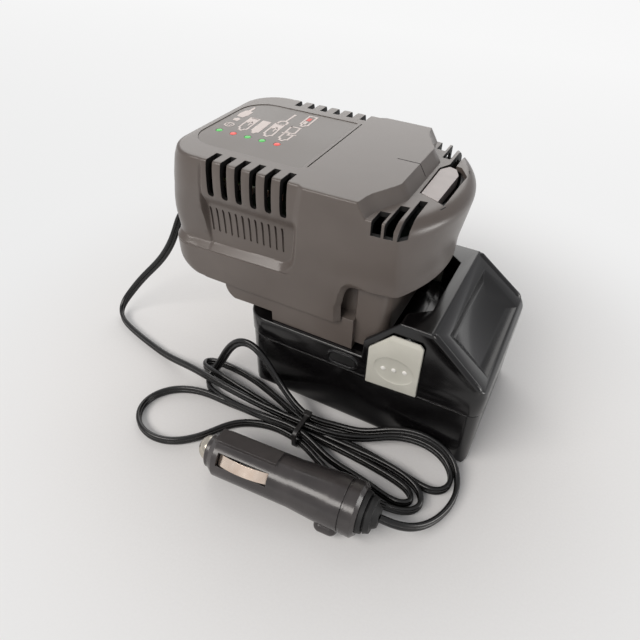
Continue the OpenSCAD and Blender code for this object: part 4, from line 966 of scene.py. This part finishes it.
for side in (-1, 1):
    opening = [(26.15, 31.65), (51.35, 31.65), (51.1, 62.5), (49.2, 64.4), (36.2, 64.4), (26.15, 53.5)]
    carve(upper, side_prism(opening, side, 33.8, 45))
    bead = []
    bead_line = np.array(on_slope([(a, side * np.interp(a, (0.6, 32.6), (34.3, 36.35)), -0.75)
                                   for a in (0.2, 0.9, 2, 8, 16, 24, 30, 31.6, 32.6)]))
    bead_radii = [0.35, 1.2, 1.62, 1.62, 1.62, 1.62, 1.62, 1.2, 0.35]
    for p, along, radius in zip(bead_line, headings(bead_line), bead_radii):
        across = np.array([0, 1, 0.0])
        bead += hoop(p, radius, across, np.cross(along, across), 20)
    carve(upper, (bead, tube_faces(len(bead_line), 20)), "UNION")
    ring = closed_tube([np.array([x, side * 38.05, z]) for x, z in port_outline(3.5)], 0.85)
    carve(upper, side_prism(port_outline(3.0), side, 35.9, 40))
    carve(upper, ring, "UNION")
    lip_outline = [(26.3, 31.7), (51.2, 31.7), (51.2, 33.4)]
    carve(upper, side_prism(lip_outline, side, 36.4, 37.9), "UNION")
carve(upper, both_sides(slab((39.6, -34.6, 47), (50.2, -29.9, 63.2))))
slots = [slab((-45, y - 1.7, 43), (-17, y + 1.7, 60)) for y in (-17, -7, 7, 17)]
carve(upper, joined(*slots))
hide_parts("pack_upper_case")
dress(pack_abs, "pack_lower_case")
dress(rubber, "side_port_bung")
dress(zinc_steel, "pack_screws")

# ---- inside the pack ----
# Ten wrapped cells between two nylon holders, joined by welded nickel strip, with the protection
# board and the brass terminals that meet the charger's blades.
dress(plastic("cell_wrap_shrunk", "#2f8f5b", "#3fa76d", 0.3, 3, 0.01, blotch=16), "battery_cells")
dress(plastic("nylon_natural", "#cfccc0", "#dedbd0", 0.45, 0.8, 0.03),
      "cell_holder_right", "cell_holder_left")
dress(metal("nickel_strip", "#a7a49c", "#c4c1b9", 0.33), "cell_tabs")
dress(board_green, "protection_board")
dress(brass, "pack_terminals")

# ---- release buttons ----
# Pressed in to free the pack: pale grey ABS caps with a chamfered head, a shallow round finger dish
# and three moulded pips on its floor.
pale_abs = plastic("abs_moulded_pale", "#cac9bf", "#d3d2c8", 0.42, 0.6, 0.015, rounding=0.35, blotch=14)
pip_white = plastic("abs_pip_white", "#f0efea", "#f7f6f2", 0.3, 0.6, 0.0, rounding=0.1)
cap_outline = [(26.5, 32), (51, 33.7), (50.7, 62.3), (48.9, 64.05), (36.5, 64.05), (26.5, 53.3)]
for side, name in ((-1, "right"), (1, "left")):
    body = "release_button_" + name
    cap = piece("button_cap_" + name, *side_prism(cap_outline, side, 36.6, 38.3), pale_abs, body,
                "button_plastic")
    bevel(cap, 0.5, 3, 25)
    head_chamfer = [(side * y, z) for y, z in ((38.35, 61.6), (38.9, 61.6), (38.9, 66), (36.9, 66))]
    carve(cap, prism(head_chamfer, 20, 60, "x"))
    slant = [(x, side * y, z) for x, y, z in ((32.0, 38.35, 58.4), (32.0, 39.2, 58.4), (30.6, 39.2, 60.4),
                                              (30.6, 37.2, 60.4))]
    rise = np.array([10.0, 0, 10.75]) / math.hypot(10, 10.75)
    slant = [tuple(np.array(p) + rise * t) for t in (-14, 16) for p in slant]
    carve(cap, (slant, tube_faces(2, 4)))
    dish = [(-math.cos(math.radians(t)), math.sin(math.radians(t))) for t in range(0, 91, 10)]
    dish_points, dish_faces = turned([(1 + c, max(r, 0.004)) for c, r in dish] + [(2.0, 1.0)],
                                     (0, 0, 0), (0, 1, 0), 56)
    dish_points = [(39.2 + 9.4 * p[0], side * (37.55 + 0.75 * p[1]), 44.6 + 7.4 * p[2]) for p in dish_points]
    carve(cap, (dish_points, dish_faces))
    guide_low, guide_high = sorted((side * 32.8, side * 37))
    carve(cap, slab((28, guide_low, 51), (31, guide_high, 54)), "UNION")
    carve(cap, turned([(0, 2), (2.4, 2)], (42.9, side * 36.7, 58), (0, -side, 0), 24), "UNION")
    pip = [(0, 1.12), (0.28, 1.06), (0.46, 0.8), (0.56, 0.4), (0.58, 0.05)]
    pips = [turned(pip, (x, side * 37.62, z), (0, side, 0), 24)
            for x, z in ((34.2, 43.9), (39.2, 44.8), (44.2, 45.6))]
    piece("button_pips_" + name, *joined(*pips), pip_white, body, "button_plastic")
    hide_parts(body)

# ---- button springs ----
# Drawn steel coils behind the buttons: each bears on the case and round the button's seat, and is
# squeezed as the button goes in.
spring_x, spring_z, spring_turns, spring_r, wire_r = 42.9, 58.0, 5.5, 2.65, 0.35
spring_low, spring_high = 30.55, 36.2
for side, name in ((-1, "right"), (1, "left")):
    turns = np.linspace(0, 2 * math.pi * spring_turns, 133)
    wire = []
    for a in turns:
        rise = spring_low + (spring_high - spring_low) * a / turns[-1]
        centre = np.array([spring_x + spring_r * math.cos(a), side * rise, spring_z + spring_r * math.sin(a)])
        out = np.array([math.cos(a), 0, math.sin(a)])
        wire += hoop(centre, wire_r, out, np.array([0, 1, 0]), 8)
    coil = piece("button_coil_" + name, wire, tube_faces(len(turns), 8), spring_steel, "battery_pack",
                 "spring_steel")
    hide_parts("button_spring_" + name)
    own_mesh(coil)

# ---- floor and light ----
# Plain pale floor under soft studio light.
paper, tree, shader, place = blank("paper_backdrop")
fibre = add(tree, "TexNoise", {"Vector": place, "Scale": 900.0})
shade = tinted(tree, fibre, "#e9e8e8", "#f0f0f0")
feed(shader, {"Base Color": shade.outputs["Color"]})
shader.inputs["Roughness"].default_value = 0.9
# away from the object the sweep is plain: it is white for the eye and in gloss, and lights as paper does
away = add(tree, "VectorMath", {0: place}, operation="LENGTH")
far = add(tree, "MapRange", {"Value": away.outputs["Value"], "From Min": 0.07, "From Max": 0.26},
          interpolation_type="SMOOTHSTEP")
depth = add(tree, "SeparateXYZ", {"Vector": place})
fade = add(tree, "MapRange", {"Value": depth.outputs["Y"], "From Min": -0.3, "From Max": 0.7,
                              "To Min": 0.81, "To Max": 0.935})
glow = add(tree, "Emission", {"Color": (1, 1, 1, 1), "Strength": fade.outputs["Result"]})
ray = add(tree, "LightPath")
seen = add(tree, "Math", {0: ray.outputs["Is Camera Ray"], 1: ray.outputs["Is Glossy Ray"]},
           operation="MAXIMUM")
share = add(tree, "Math", {0: seen.outputs[0], 1: far.outputs["Result"]}, operation="MULTIPLY")
sweep = add(tree, "MixShader", {"Fac": share.outputs[0], 1: shader.outputs[0], 2: glow.outputs[0]})
tree.links.new(sweep.outputs[0], tree.nodes["Material Output"].inputs["Surface"])
reach = 3000
floor = piece("floor", [(-reach, -reach, 0), (reach, -reach, 0), (reach, reach, 0), (-reach, reach, 0)],
              [(0, 1, 2, 3)], paper, None, smooth=0)


def softbox(name, place, aim, size, power, colour="#ffffff"):
    """A square soft light that faces a point."""
    lamp = bpy.data.lights.new(name, "AREA")
    lamp.shape = "RECTANGLE"
    lamp.size, lamp.size_y = size[0] * MM, size[1] * MM
    lamp.energy = power
    lamp.color = linear(colour)[:3]
    thing = bpy.data.objects.new(name, lamp)
    thing.location = Vector(place) * MM
    thing.rotation_euler = (Vector(aim) - Vector(place)).to_track_quat("-Z", "Y").to_euler()
    bpy.context.scene.collection.objects.link(thing)


softbox("overhead", (-270, 630, 560), (0, 0, 70), (900, 900), 4.0, "#fffdfa")
softbox("window", (-260, -680, 690), (0, 0, 60), (850, 300), 6.0, "#fffaf5")
softbox("card", (600, 90, 95), (50, 0, 80), (260, 200), 1.1, "#fffdfa")
world = bpy.data.worlds.new("studio")
world.use_nodes = True
surround = world.node_tree.nodes["Background"]
surround.inputs["Color"].default_value = linear("#f4f4f6")
# the studio is pale for the eye and in gloss, and lights the object plainly
air = world.node_tree
plain = 0.24
ray = add(air, "LightPath")
seen = add(air, "MapRange", {"Value": ray.outputs["Is Camera Ray"], "To Min": plain, "To Max": 0.95})
mirrored = add(air, "MapRange", {"Value": ray.outputs["Is Glossy Ray"], "To Min": plain, "To Max": 0.62})
strength = add(air, "Math", {0: seen.outputs[0], 1: mirrored.outputs[0]}, operation="MAXIMUM")
feed(surround, {"Strength": strength.outputs[0]})
bpy.context.scene.world = world
bpy.context.scene.view_settings.view_transform = "Standard"

# ---- last update ----
bpy.context.view_layer.update()
